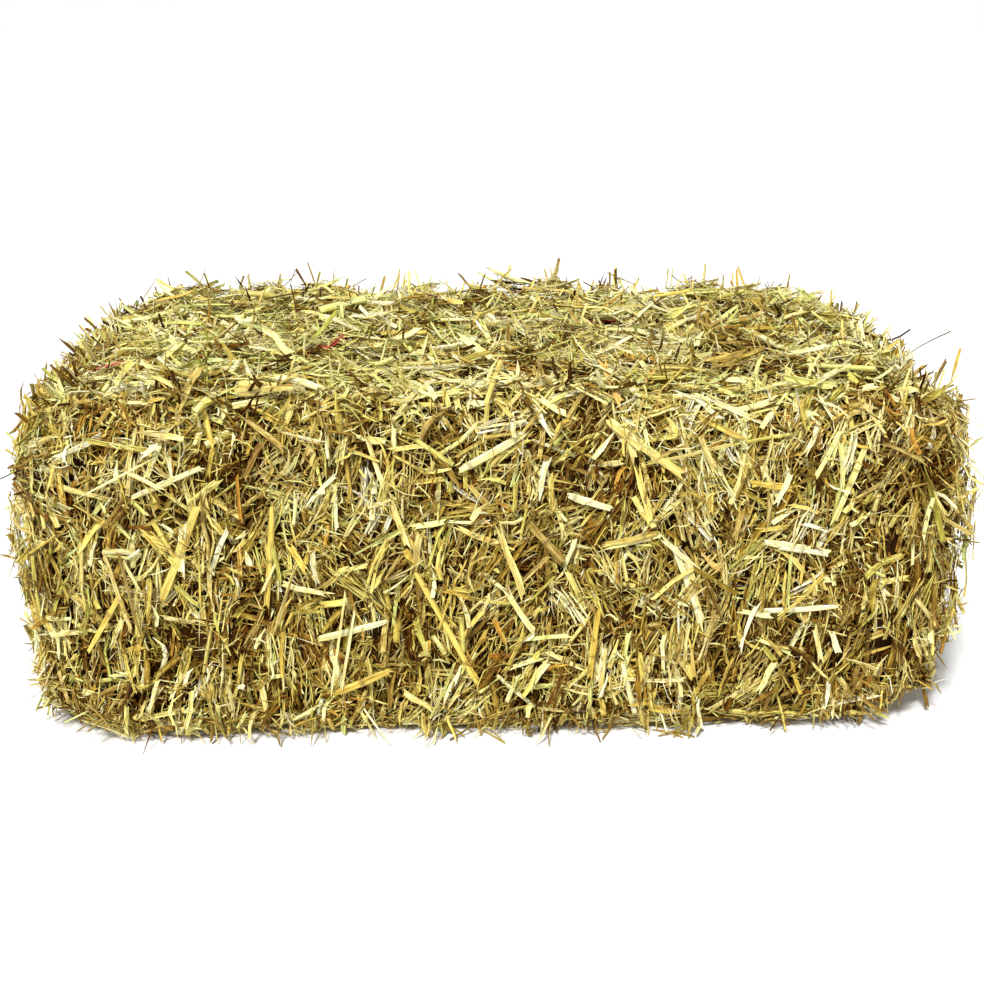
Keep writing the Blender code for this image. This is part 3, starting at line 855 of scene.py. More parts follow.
def heading_at(side, point, loose, tuft):
    """Angle from level at which a straw lies on a side of the bale, in radians."""
    if rng.random() < max(loose, SIDE_LOOSE[side]):
        return rng.uniform(0, math.pi)
    lock = LOCK_TURN * noise.noise(point / LOCK_SIZE) + tuft.turn + rng.gauss(0, HEADING_STRAY)
    if side in ("top", "bottom"):
        return lock
    lock *= 1 - CALM_SHARE * min(max((CALM_BELOW - point.z) / CALM_FADE, 0), 1)
    near_top = min(max((point.z - LEVEL_ABOVE) / LEVEL_FADE, 0), 1)
    if rng.random() < LEVEL_SHARE + LEVEL_MORE * near_top:
        return lock
    return math.pi / 2 + lock + flake_leans[flake_at(point.x)]


# %% [markdown]
# The coat is no even layer. It swells and sinks over a few centimetres, follows the height of each
# tuft, fills the slots that the twines have bitten into the top, is raised a little along the back
# and slopes at the shoulders. The right end stands clear of the floor, and the front's lower edge
# arches over two gaps.

# %% How high the coat stands
GROOVE_REACH = 0.011
GROOVE_LIFT = 0.0025
PUFF_SIZE = 0.048
CROWN_LIFT = 0.008
CROWN_START = -0.05
CROWN_WIDTH = 0.20
SIDE_LIFT = {"front": 0.003, "back": 0.003, "top": 0.006, "bottom": 0.0, "left": 0.003, "right": 0.003}
SIDE_PUFF = {"front": 0.013, "back": 0.013, "top": 0.020, "bottom": 0.0, "left": 0.018, "right": 0.018}
HIGHEST = cad_box[1].z + 0.018
SHOULDER_START = 0.31
SHOULDER_DROP = 0.18
SHOULDER_MOST = 0.019
LOWEST_LOFT = -0.005
SLOT_FILL = 0.009
SLOT_REACH = 0.015
SLOT_Z = 0.25
twine_places = [sum(corner.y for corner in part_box(name)) / 2 for name in ("twine_near", "twine_far")]
RAISED_END = ((0.25, 0.45, 0.014), (0.34, 0.30, 0.060))
ARCHES = ((-0.23, 0.036), (-0.114, 0.022))
ARCH_HEIGHT = 0.012
ARCH_Y = -0.15
SIDE_SIZE = {"front": 1.0, "back": 1.16, "top": 1.2, "bottom": 1.5, "left": 1.05, "right": 1.05}
SIDE_TIPPING = {"front": 1.0, "back": 1.0, "top": 1.9, "bottom": 0.0, "left": 1.1, "right": 1.1}
STEEPEST = math.radians(72)


def slot_at(side, point):
    """How near a place is to the slot of a twine, from 0 to 1, where straw covers the twine."""
    if side in ("front", "back", "bottom") or point.z < SLOT_Z:
        return 0
    return max(0, 1 - min(abs(point.y - y) for y in twine_places) / SLOT_REACH)


def loft_at(side, point):
    """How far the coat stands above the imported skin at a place."""
    groove = min(abs(point.x - joint) for joint in flake_joints)
    filled = GROOVE_LIFT * max(0, 1 - groove / GROOVE_REACH) + SLOT_FILL * slot_at(side, point)
    if side == "top":
        filled += CROWN_LIFT * min(max((point.y - CROWN_START) / CROWN_WIDTH, 0), 1)
        filled -= min(SHOULDER_DROP * max(abs(point.x) - SHOULDER_START, 0), SHOULDER_MOST)
    return filled + SIDE_LIFT[side] + SIDE_PUFF[side] * noise.noise(point / PUFF_SIZE)


def lowest_at(point):
    """The lowest height that straw reaches. It rises at the right end and over gaps under the front."""
    rises = [min(max(point.x - start, 0) * slope, most) for start, slope, most in RAISED_END]
    if point.y < ARCH_Y:
        rises += [ARCH_HEIGHT * (1 - ((point.x - x) / reach) ** 2) for x, reach in ARCHES]
    return max(rises)


# %% [markdown]
# A straw is laid by its two ends. Both follow the skin only in part, because a dry stem is stiff:
# over an edge of the bale it bridges, and the middle bows out to meet the skin. A straw that
# sticks out is tipped, with its lower end packed in. None goes below the floor.

# %% Laying one straw
SHORT = 0.03
FLOOR_SHARE = 0.6
UNDER_STALK = -0.005
PACKED_SHARE = 0.3
ROLL_SPREAD = 0.5
HIGHEST_SEED = 40
LEAST_FOLLOW = 0.55
DEEPEST_FOLLOW = -0.03
FLAT_BOW = 0.9
TIPPED_BOW = 0.3
OUTWARD_CURL = 0.4
straws = {name: [] for name in FLAKES}


def note_straw(centre, low, high, outward, bow, shape, width, tint, hue):
    """Writes one straw down for the flake that it lies on, raised where it would enter the floor."""
    clear = FLOOR_SHARE * width
    low.z = max(low.z, clear)
    high.z = max(high.z, clear)
    bow.z = max(bow.z, clear - (low.z + high.z) / 2)
    axis = (high - low).normalized()
    across = axis.cross(outward).normalized()
    turn = Matrix((across, axis.cross(across), axis)).transposed()
    roll = Matrix.Rotation(rng.gauss(0, ROLL_SPREAD), 3, "Z")
    straws[FLAKES[flake_at(centre.x)]].append((
        low, (turn @ roll).to_quaternion(), (width, width, (high - low).length),
        bow, shape, tint, hue, rng.uniform(0, HIGHEST_SEED),
    ))


def lay(side, place, shape, length, width, height, lift, heading, curl, tint, hue):
    """Lays one straw at a height above the skin. Lift is the angle by which it is tipped."""
    outward = outward_at(place)
    rightward, upward, _ = SIDES[side]
    flat = rightward * math.cos(heading) + upward * math.sin(heading)
    along = (flat - outward * flat.dot(outward)).normalized()
    centre = place + outward * skin_height(place, outward)
    height = min(height, height * (1 - room_at(side, centre)) + UNDER_STALK * room_at(side, centre))
    reach = length / 2 * math.cos(lift)
    rise = length * math.sin(abs(lift))
    raised_end = math.copysign(1, lift)
    ends = []
    for sign in (-1, 1):
        end = centre + along * reach * sign
        follow = 0
        if length >= SHORT:
            follow = rng.uniform(LEAST_FOLLOW, 1) * max(skin_height(end, outward), DEEPEST_FOLLOW)
        tipped = rise * ((sign == raised_end) - PACKED_SHARE)
        end += outward * (height + follow + tipped)
        end.z = min(max(end.z, lowest_at(end)), HIGHEST)
        ends.append(end)
    mid = centre + outward * height
    bow = (mid - (ends[0] + ends[1]) / 2) * (FLAT_BOW if lift == 0 else TIPPED_BOW)
    sideways = along.cross(outward) * length * rng.gauss(0, curl)
    bow += sideways + outward * length * rng.gauss(0, curl) * OUTWARD_CURL
    note_straw(centre, ends[0], ends[1], outward, bow, shape, width, tint, hue)


# %% [markdown]
# ## The layers of the coat
#
# The coat is laid from the inside out. Deep chips fill the gaps and are tinted dark brown, as
# painted shade deep in the gaps. Thin stems lie in locks, several side by side, as they went through
# the baler together, and a mat of short torn fibres covers them. Crushed stalks and leaves lie over
# the mat, the palest on the outside. Curls and fine stems cross them, and some ends stick out. Along
# the edges of the bale, where nothing holds the straw, whole tufts of ends stand out as ruffs. The
# top's straws are tinted lighter as painted light, for the stronger light on top, and a little
# greener, and their tints spread wider as painted shade and highlight between them. Towards the
# right end the front is tinted darker as painted shade. Lower straws are tinted darker than higher
# ones: partly painted shade, partly dust.

# %% The table of layers
MM = 0.001
DEG = math.radians(1)


class Layer(NamedTuple):
    """One layer of straw. Sizes are in millimetres, and tints run from 0, dark, to 1, pale."""

    name: str
    density: float
    shapes: dict
    lengths: tuple
    widths: tuple
    depths: tuple
    tints: tuple
    together: tuple = (1, 1)
    loose: float = 0.3
    lifts: tuple = (0, 0)
    curl: float = 0.03
    sinks: float = 0.5
    rim_only: bool = False
    hue: float = 0.0


LAYERS = (
    # The chips' dark tints, from 0.04 to 0.40, are painted shade deep in the gaps.
    Layer("chips", 7000, {"chip": 1.0}, (16, 44), (3.6, 7.5), (-10.5, -6.5), (0.04, 0.40),
          loose=0.35, sinks=0, hue=0.6),
    Layer("locks", 1600, {"stick": 0.9, "gutter": 0.1},
          (18, 66), (1.2, 3.2), (-7.0, 0.0), (0.20, 0.86),
          together=(2, 7), loose=0.12, curl=0.04, sinks=0.2),
    Layer("mat", 36000, {"fibre": 0.58, "bit": 0.26, "wisp": 0.16},
          (5, 21), (0.8, 2.2), (-7.0, 2.0), (0.16, 0.86),
          loose=0.45, lifts=(0, 22), curl=0.15, sinks=0.15, hue=0.1),
    Layer("stalks", 1600, {"crushed": 0.68, "tube": 0.08, "jointed": 0.08, "gutter": 0.16},
          (13, 76), (2.8, 8.2), (-4.5, 2.5), (0.36, 0.96),
          loose=0.3, lifts=(0, 11), curl=0.04, sinks=0.8),
    Layer("leaves", 1300, {"leaf": 1.0}, (12, 48), (2.8, 9.5), (-4.5, 2.5), (0.32, 0.94),
          loose=0.4, lifts=(0, 20), curl=0.08, sinks=0.7),
    Layer("wisps", 4600, {"wisp": 0.85, "hook": 0.15},
          (12, 48), (0.7, 1.5), (-3.0, 3.0), (0.20, 0.94),
          loose=0.5, lifts=(0, 14), curl=0.13, sinks=0.3),
    Layer("tips", 1500, {"stick": 0.32, "wisp": 0.36, "hook": 0.12, "leaf": 0.2},
          (14, 40), (0.9, 4.0), (-3.0, 2.0), (0.14, 0.92),
          loose=0.6, lifts=(12, 52), curl=0.07, sinks=0.5),
    Layer("ruffs", 1700, {"stick": 0.45, "wisp": 0.25, "hook": 0.1, "leaf": 0.2},
          (22, 52), (0.9, 4.8), (-3.0, 3.0), (0.14, 0.92),
          together=(1, 5), loose=0.5, lifts=(15, 60), curl=0.08, sinks=0.7, rim_only=True),
)
GLIMPSES = (-0.165, -0.011)
GLIMPSE_Y = -0.104
GLIMPSE_HALF = (0.009, 0.022)
HUE_SPREAD = 0.5
LOCK_WIDTH = 0.006
LOCK_SLIDE = 0.010
TINT_PATCH = 0.09
# Straws are tinted darker low on the bale and lighter high up: partly painted shade, partly dust.
HIGH_PALER = 0.06
# The top's tints are raised as painted light, for the stronger light that falls on top.
TOP_PAINTED_LIGHT = 0.15
# From here to the right end the front's tints are lowered, as painted shade.
RIGHT_END = 0.34
RIGHT_PAINTED_SHADE = 1.1
TOP_GREENER = 0.12
# On top the tints are spread wider, as painted shade and highlight between the straws.
SIDE_SHADE_CONTRAST = {"front": 1.0, "back": 1.0, "top": 1.8, "bottom": 1.0, "left": 1.0, "right": 1.0}
SIDE_PALEST = {"front": 1.0, "back": 1.0, "top": 0.86, "bottom": 1.0, "left": 1.0, "right": 1.0}
MIDDLE_TINT = 0.62
PATCH_TINT = 0.14
OWN_TINT = 0.12
OWN_TURN = 5 * DEG
USUAL_SIZE = 0.4
UNDER_WIDTH = 0.4
UNDER_SHARE = 0.8

# %% [markdown]
# Some straws and holes are placed by a point of the picture. The ray from the camera through that
# point meets a plane of the bale, and the place is kept to the millimetre. The ray takes the
# camera's roll the other way. That moves a place by up to 6 mm on the front and 17 mm on the top,
# most at the ends of the bale.

# %% From a point of the picture to a place on the bale
PICTURE_SIZE = 984
TOP_PLANE = 0.372
HOLLOW_PLANE = -0.228
STRAW_PLANE = -0.232
READING_ROLL = CAMERA_ROLL


def place_seen(column, row, axis, level):
    """Where a point of the picture lies on the plane at a level of one axis, in millimetres."""
    pixel = camera_data.sensor_width / CAMERA_LENS / PICTURE_SIZE
    ahead = Vector(((column - PICTURE_SIZE / 2) * pixel, (PICTURE_SIZE / 2 - row) * pixel, -1))
    ray = aim.to_3x3() @ Matrix.Rotation(READING_ROLL, 3, "Z") @ ahead
    met = CAMERA_PLACE + ray * ((level - CAMERA_PLACE[axis]) / ray[axis])
    return [round(value / MM) for value in met]


def seen_on_top(column, row):
    """Where a point of the picture lies on the top of the bale, to the right and to the back."""
    x, y, _ = place_seen(column, row, 2, TOP_PLANE)
    return x, y


def seen_on_front(column, row, level=STRAW_PLANE):
    """Where a point of the picture lies on the front of the bale, to the right and up."""
    x, _, z = place_seen(column, row, 1, level)
    return x, z


# %% [markdown]
# Here and there straw has fallen out, and one looks into a dark opening. Most of them lie low on
# the front, at its ends, and in the front half of the top. A hole is an ellipse on one side of the
# bale. It is given by its middle, a point of the picture or a place in millimetres, and by half
# its length and half its height in millimetres.

# %% Holes
HOLES = (
    ("top", seen_on_top(535, 355), 15, 11),
    ("top", (132, -214), 14, 10),
    ("top", seen_on_top(805, 352), 20, 12),
    ("front", seen_on_front(60, 498, HOLLOW_PLANE), 17, 9),
    ("front", (-392, 284), 9, 6),
    ("front", (-119, 36), 15, 8),
    ("front", (287, 34), 20, 8),
    ("front", seen_on_front(690, 540, HOLLOW_PLANE), 8, 14),
    ("front", (379, 190), 9, 15),
    ("front", (384, 88), 8, 16),
    ("front", (405, 268), 9, 13),
)


def in_hole(side, place):
    """Whether a place lies in a hole, where straw has fallen out of the bale."""
    level, height = SIDES[side][0], SIDES[side][1]
    spot = Vector((place.dot(level), place.dot(height))) / MM
    return any(
        hole_side == side and math.hypot((spot.x - at[0]) / half_long, (spot.y - at[1]) / half_high) < 1
        for hole_side, at, half_long, half_high in HOLES
    )


# %% Laying the layers


def pick_shape(families):
    """A shape's number from a table of families and their shares."""
    family = rng.choices(list(families), weights=list(families.values()))[0]
    return rng.choice(kinds[family])[0]


def bares_twine(side, place):
    """Whether straw at a place on the top would hide one of the two glimpses of the near twine."""
    if side != "top":
        return False
    offsets = [((place.x - x) / GLIMPSE_HALF[0], (place.y - GLIMPSE_Y) / GLIMPSE_HALF[1]) for x in GLIMPSES]
    return min(math.hypot(*offset) for offset in offsets) < 1


def lay_lock(layer, side, place):
    """Lays one straw of a layer, or several side by side."""
    tuft = tuft_at(side, place)
    covered = slot_at(side, place)
    if rng.random() < tuft.gap * layer.sinks * (1 - covered) or in_hole(side, place):
        return
    if layer.sinks and bares_twine(side, place):
        return
    rightward, upward, _ = SIDES[side]
    heading = heading_at(side, place, layer.loose, tuft)
    # Painted light and shade in the tint: lighter high up and on top, darker towards the front's right end;
    # the darkening low down is partly dust.
    light_shade_and_dust = HIGH_PALER * (place.z / middle.z / 2 - 0.5) + (TOP_PAINTED_LIGHT if side == "top" else 0)
    # Painted shade: the front is tinted darker towards its right end.
    if side == "front":
        light_shade_and_dust -= RIGHT_PAINTED_SHADE * max(place.x - RIGHT_END, 0)
    patch = PATCH_TINT * noise.noise(place / TINT_PATCH) + tuft.tint + light_shade_and_dust
    tint = rng.uniform(*layer.tints)
    hue = rng.gauss(layer.hue - (TOP_GREENER if side == "top" else 0), HUE_SPREAD)
    loft = max(loft_at(side, place) + tuft.height * (1 - covered), LOWEST_LOFT) if layer.sinks else 0
    for number in range(rng.randint(*layer.together)):
        across = rng.uniform(-1, 1) * LOCK_WIDTH if number else 0
        slide = rng.uniform(-1, 1) * LOCK_SLIDE if number else 0
        own_heading = heading + (rng.gauss(0, OWN_TURN) if number else 0)
        spot = place + rightward * (slide * math.cos(heading) - across * math.sin(heading))
        spot += upward * (slide * math.sin(heading) + across * math.cos(heading))
        shortest, longest = layer.lengths
        usual = shortest * (1 - USUAL_SIZE) + longest * USUAL_SIZE
        length = rng.triangular(shortest, longest, usual)
        length *= SIDE_SIZE[side] * MM
        width = rng.triangular(*layer.widths, sum(layer.widths) * USUAL_SIZE) * SIDE_SIZE[side] * MM
        height = rng.uniform(*layer.depths) * MM + loft
        lift = min(rng.uniform(*layer.lifts) * DEG * SIDE_TIPPING[side], STEEPEST) * rng.choice((-1, 1))
        if side == "bottom":
            height = min(height, -width * UNDER_WIDTH) * UNDER_SHARE
        own_tint = tint + patch + rng.uniform(-OWN_TINT, OWN_TINT) - MIDDLE_TINT
        # Painted shade and highlight: on top the tints are spread wider round the middle tint.
        own_tint = min(max(MIDDLE_TINT + own_tint * SIDE_SHADE_CONTRAST[side], 0), SIDE_PALEST[side])
        lay(side, spot, pick_shape(layer.shapes), length, width, height, lift, own_heading, layer.curl,
            own_tint, hue)


# %% Every layer on every side
RIM = 0.032


def near_rim(side, place):
    """Whether a place on one side of the bale is near another side."""
    rightward, upward, _ = SIDES[side]
    from_middle = place - middle
    width, height = side_size(side)
    return min(width / 2 - abs(from_middle.dot(rightward)), height / 2 - abs(from_middle.dot(upward))) < RIM


def lay_layer(layer):
    """Lays one layer of the coat on all six sides."""
    before = sum(map(len, straws.values()))
    for side, share in SIDE_SHARE.items():
        width, height = side_size(side)
        for place in even_places(side, round(layer.density * share * width * height)):
            if not layer.rim_only or side != "bottom" and near_rim(side, place):
                lay_lock(layer, side, place)
    print(layer.name, sum(map(len, straws.values())) - before)


for layer in LAYERS:
    lay_layer(layer)

# %% [markdown]
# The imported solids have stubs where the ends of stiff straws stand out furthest. Each stub gets a
# few straws on its own line, so that the coat reaches just as far. A stub is found by its points:
# they stand clear of the skin, and the faces between them and the skin show which way it leans.

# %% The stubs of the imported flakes
STUB_CLEAR = 0.008
STUB_FEELER = 0.0008
STUB_GROUP = 0.009
STUB_STRAWS = (2, 3)
STUB_SHAPES = {"crushed": 0.4, "tube": 0.3, "stick": 0.3}
STUB_ROOT = 0.012
STUB_STRAY = 0.004
STUB_END_STRAY = 1.6
STUB_PARTS = (0.5, 0.95)
STUB_WIDTHS = (3.0, 6.0)
STUB_TINTS = (0.35, 0.95)


def stands_clear(point):
    """Whether a point of a flake is well outside its skin, so that it belongs to a stub."""
    outward = outward_at(point)
    aside = outward.orthogonal() * STUB_FEELER
    round_it = (aside, outward.cross(aside), -aside, aside.cross(outward))
    return max(skin_height(point + step, outward) for step in round_it) < -STUB_CLEAR


def stub_lines(name):
    """The root and the tip of each stub of a flake."""
    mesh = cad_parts[name].data
    clear = [
        min(abs(vert.co.x - joint) for joint in flake_joints) > 2 * JOINT_CLEAR and stands_clear(vert.co)
        for vert in mesh.vertices
    ]
    lines = []
    for face in mesh.polygons:
        far = [mesh.vertices[i].co for i in face.vertices if clear[i]]
        near = [mesh.vertices[i].co for i in face.vertices if not clear[i]]
        if not far or not near:
            continue
        tip = sum(far, Vector()) / len(far)
        group = next((g for g in lines if (g[0][0] - tip).length < STUB_GROUP), None)
        if group is None:
            group = ([], [])
            lines.append(group)
        group[0].append(tip)
        group[1].append(sum(near, Vector()) / len(near))
    return [(sum(roots, Vector()) / len(roots), sum(tips, Vector()) / len(tips)) for tips, roots in lines]


def lay_between(low, high, width, shape, tint, hue, curl=0.04):
    """Adds one straw between two points, with a slight bow."""
    aside = (high - low).orthogonal().normalized()
    aside = Matrix.Rotation(rng.uniform(0, math.tau), 3, high - low) @ aside
    bow = aside * (high - low).length * rng.gauss(0, curl)
    note_straw(low, low, high, aside, bow, shape, width, tint, hue)


def lay_stubs():
    """Straws along every stub. The first one reaches its tip, the others stop short of it."""
    count = 0
    for name in FLAKES:
        for root, tip in stub_lines(name):
            for number in range(rng.randint(*STUB_STRAWS)):
                stray = Vector([rng.uniform(-1, 1) for _ in range(3)]) * STUB_STRAY
                share = 1 if number == 0 else rng.uniform(*STUB_PARTS)
                start = root - (tip - root).normalized() * STUB_ROOT + stray
                end = root.lerp(tip, share) + stray * (0 if number == 0 else STUB_END_STRAY)
                width = rng.uniform(*STUB_WIDTHS) * MM
                tint, hue = rng.uniform(*STUB_TINTS), rng.gauss(0, HUE_SPREAD)
                lay_between(start, end, width, pick_shape(STUB_SHAPES), tint, hue)
            count += 1
    print("stubs:", count)


lay_stubs()

# %% [markdown]
# ## Loose ends
#
# Where the bale meets the floor, its lowest straws splay outwards and rest on the floor, like the
# hem of a skirt. At the right end, which stands clear of the floor, they only hang.

# %% The hem on the floor
HEM_GAP = 0.0075
HEM_PATCH = 0.045
HEM_BARE = -0.12
HEM_RESTING = 0.25
HEM_SPAN = 0.46
HEM_ROOTS = (0.010, 0.036)
HEM_LENGTHS = (0.018, 0.050)
HEM_SUNK = 0.006
HEM_ASIDE = 0.7
HEM_OUT = (0.5, 1.3)
HEM_THINNEST = 0.8
HEM_THICKER = 4.2
HEM_TINTS = (0.2, 0.9)
HEM_CURL = 0.07
HEM_SHAPES = {"crushed": 0.25, "stick": 0.3, "wisp": 0.2, "leaf": 0.15, "hook": 0.1}


def lay_hem():
    """Lays straws that run from the foot of the bale out onto the floor, all the way round."""
    count = 0
    for side in ("front", "back", "left", "right"):
        rightward, _, outward = SIDES[side]
        width, _ = side_size(side)
        for _ in range(round(width / HEM_GAP)):
            across = rightward * rng.uniform(-HEM_SPAN, HEM_SPAN) * width
            foot = middle + across + outward * abs(half.dot(outward))
            foot.z = rng.uniform(*HEM_ROOTS) + lowest_at(foot)
            if noise.noise(foot / HEM_PATCH) < HEM_BARE:
                continue
            away = outward_at(foot)
            root = foot + away * (skin_height(foot, away) - HEM_SUNK)
            lean = (rightward * rng.gauss(0, HEM_ASIDE) + outward * rng.uniform(*HEM_OUT)).normalized()
            length = rng.triangular(*HEM_LENGTHS, HEM_LENGTHS[0])
            rest_z = 0 if rng.random() < HEM_RESTING else lowest_at(root)
            drop = max(root.z - rest_z, 0)
            tip = root + lean * math.sqrt(max(length**2 - drop**2, (length / 2) ** 2))
            tip.z = rest_z
            stem_width = (HEM_THINNEST + HEM_THICKER * rng.random() ** 2) * MM
            shape = pick_shape(HEM_SHAPES)
            tint, hue = rng.uniform(*HEM_TINTS), rng.gauss(0, HUE_SPREAD)
            lay_between(root, tip, stem_width, shape, tint, hue, HEM_CURL)
            count += 1
    print("hem:", count)


lay_hem()

# %% [markdown]
# Some ends stand out against the background or the straw around them: blades, curls and bits of
# stem along the back edge, the right corner and the left one, and a few leaves on the front. Each
# is set by its root and its tip in millimetres, with its width, tint and hue. Most of the places
# started from points of the picture and were then moved.

# %% Ends that catch the eye
CATCHER_CURL = 0.03
EYE_CATCHERS = (
    ("leaf", (-391, 180, 360), (-369, 178, 391), 5.0, 0.40, -0.5),
    ("wisp", (-232, 180, 371), (-206, 176, 397), 1.3, 0.22, 0.3),
    ("wisp", (-222, 182, 371), (-212, 180, 398), 1.2, 0.42, -0.4),
    ("wisp", (-172, 180, 374), (-168, 178, 398), 1.2, 0.50, 0.0),
    ("hook", (-149, 180, 374), (-123, 178, 392), 1.5, 0.60, -0.4),
    ("hook", (-56, 180, 366), (-32, 176, 388), 1.9, 0.86, 0.0),
    ("stick", (12, 182, 370), (36, 178, 396), 3.0, 0.62, 0.5),
    ("wisp", (22, 182, 370), (18, 178, 394), 1.2, 0.40, 0.0),
    ("leaf", (46, 182, 383), (74, 180, 376), 4.4, 0.06, 0.0),
    ("hook", (73, 182, 372), (104, 178, 388), 2.0, 0.30, -0.8),
    ("stick", (117, 180, 380), (144, 178, 366), 2.0, 0.10, 0.0),
    ("wisp", (192, 182, 370), (138, 180, 392), 1.5, 0.36, -0.7),
    ("hook", (178, 182, 370), (192, 180, 389), 2.6, 0.66, 0.5),
    ("stick", (216, 182, 368), (218, 180, 397), 1.9, 0.70, -0.6),
    ("stick", (221, 182, 368), (224, 180, 399), 1.9, 0.78, -0.5),
    ("leaf", (222, 182, 386), (250, 180, 364), 4.6, 0.02, 0.0),
    ("hook", (334, 182, 362), (346, 180, 385), 1.6, 0.30, -0.8),
    ("leaf", (361, 182, 361), (362, 180, 387), 3.2, 0.46, -0.4),
    ("stick", (376, 180, 350), (388, 178, 364), 4.0, 0.66, 0.2),
    ("leaf", (399, -150, 366), (442, -152, 391), 3.4, 0.28, -0.9),
    ("crushed", (428, -150, 334), (441, -152, 364), 6.0, 0.34, 0.2),
    ("leaf", (447, -150, 340), (453, -152, 374), 5.6, 0.68, 0.7),
    ("leaf", (452, -150, 268), (466, -154, 303), 4.4, 0.34, -0.6),
    ("stick", (462, -150, 190), (486, -154, 183), 3.4, 0.62, 0.0),
    ("stick", (480, -150, 160), (482, -154, 112), 3.2, 0.64, 0.6),
    ("leaf", (404, -218, 281), (424, -238, 205), 11.0, 0.44, -1.2),
    ("leaf", (-245, -214, 350), (-190, -222, 357), 13.0, 0.60, 0.2),
    ("leaf", (-335, -232, 318), (-290, -238, 314), 10.0, 0.72, 0.2),
    ("crushed", (-436, -150, 318), (-453, -152, 335), 4.0, 0.60, 0.4),
    ("stick", (-452, -150, 262), (-474, -152, 281), 3.0, 0.66, 0.4),
    ("crushed", (-458, -150, 229), (-481, -152, 218), 4.4, 0.72, 0.0),
    ("leaf", (-388, -150, 370), (-414, -152, 366), 4.0, 0.56, 0.0),
)


def in_metres(point):
    """A point given in millimetres."""
    return Vector(point) * MM


for family, root, tip, width, tint, hue in EYE_CATCHERS:
    shape = rng.choice(kinds[family])[0]
    lay_between(in_metres(root), in_metres(tip), width * MM, shape, tint, hue, CATCHER_CURL)
print("ends that catch the eye:", len(EYE_CATCHERS))

# %% [markdown]
# On the front, some crushed stems lie on top of all others. Each is set by its two ends, which are
# points of the picture, and by its width in millimetres, its tint and its hue. It rests on the
# coat with its flat side outwards.

# %% Stems on top of the front
FRONT_LIFT = 0.0075
FRONT_CURL = 0.03
ON_THE_FRONT = (
    ("crushed", (198, 404), (215, 454), 6.0, 0.62, 0.6),
    ("crushed", (138, 462), (160, 449), 5.5, 0.96, -0.2),
    ("wisp", (72, 507), (158, 461), 2.6, 0.82, -0.2),
    ("crushed", (160, 527), (174, 538), 5.0, 1.00, -0.2),
    ("crushed", (386, 452), (426, 446), 5.5, 0.68, 0.3),
    ("crushed", (364, 432), (386, 492), 5.6, 0.70, 0.0),
    ("crushed", (386, 490), (410, 552), 6.0, 0.66, -0.1),
    ("leaf", (295, 398), (344, 426), 7.5, 0.78, 0.1),
    ("stick", (296, 425), (354, 400), 2.4, 0.88, -0.2),
    ("leaf", (406, 551), (417, 567), 8.0, 0.58, 0.8),
    ("stick", (198, 530), (201, 616), 3.0, 0.62, -0.5),
    ("crushed", (462, 642), (486, 610), 4.6, 0.64, 0.4),
    ("crushed", (151, 718), (161, 684), 4.0, 0.76, 0.0),
    ("crushed", (622, 406), (637, 466), 7.0, 0.70, 0.2),
    ("crushed", (637, 464), (651, 524), 7.0, 0.66, 0.3),
    ("crushed", (640, 464), (742, 438), 4.2, 0.68, 0.25),
    ("leaf", (716, 401), (806, 440), 7.0, 0.80, 0.1),
    ("crushed", (747, 480), (800, 487), 7.6, 0.60, 0.7),
    ("crushed", (775, 502), (790, 469), 6.0, 1.00, -0.2),
    ("crushed", (657, 531), (700, 567), 5.6, 0.88, -0.1),
    ("leaf", (688, 560), (705, 630), 11.0, 0.74, 0.2),
    ("crushed", (833, 626), (842, 649), 6.4, 0.96, -0.2),
    ("crushed", (864, 392), (873, 449), 6.4, 0.66, 0.0),
    ("crushed", (738, 607), (777, 613), 6.0, 0.84, -0.1),
    ("stick", (608, 645), (605, 697), 4.2, 0.72, 0.2),
    ("crushed", (639, 697), (658, 643), 6.4, 0.60, 0.1),
    ("crushed", (660, 622), (698, 678), 8.0, 0.50, 0.3),
    ("crushed", (712, 714), (766, 674), 5.6, 0.66, 0.2),
    ("crushed", (815, 620), (824, 660), 6.0, 0.74, 0.2),
    ("stick", (802, 645), (831, 677), 4.0, 0.70, 0.2),
    ("crushed", (283, 555), (262, 600), 3.6, 0.70, 0.1),
    ("crushed", (300, 560), (276, 640), 4.6, 0.60, 0.0),
    ("stick", (333, 700), (348, 590), 3.4, 0.74, 0.0),
    ("stick", (343, 694), (357, 610), 3.6, 0.70, 0.1),
    ("stick", (105, 560), (135, 640), 5.0, 0.56, 0.1),
    ("stick", (118, 555), (146, 650), 4.0, 0.48, 0.1),
    ("crushed", (497, 520), (526, 600), 7.0, 0.64, -0.1),
    ("crushed", (505, 585), (540, 636), 7.4, 0.76, 0.0),
    ("crushed", (545, 470), (566, 540), 5.6, 0.70, -0.1),
    ("leaf", (528, 400), (552, 440), 9.0, 0.84, 0.1),
)


def on_front(column, row):
    """The point on the front's coat that a point of the picture shows."""
    across, up = seen_on_front(column, row)
    place = in_metres((across, body_low.y / MM, up))
    outward = SIDES["front"][2]
    return place + outward * (skin_height(place, outward) + FRONT_LIFT)


for family, start, stop, width, tint, hue in ON_THE_FRONT:
    low, high = on_front(*start), on_front(*stop)
    outward = SIDES["front"][2]
    lifted = outward * (high - low).length * rng.gauss(0, FRONT_CURL)
    note_straw(low, low, high, outward, lifted, rng.choice(kinds[family])[0], width * MM, tint, hue)
print("stems on top of the front:", len(ON_THE_FRONT))

# %% [markdown]
# ## Growing the meshes
#
# Geometry Nodes copies a shape to each place, turns and stretches it, makes the copies real and
# then bends every straw by its own bow. The bow is largest half way along, as in a bent stick. A
# point that would still lie below the floor is pressed up onto it.

# %% The node tree that lays the straws
FLOOR_GAP = 0.0004

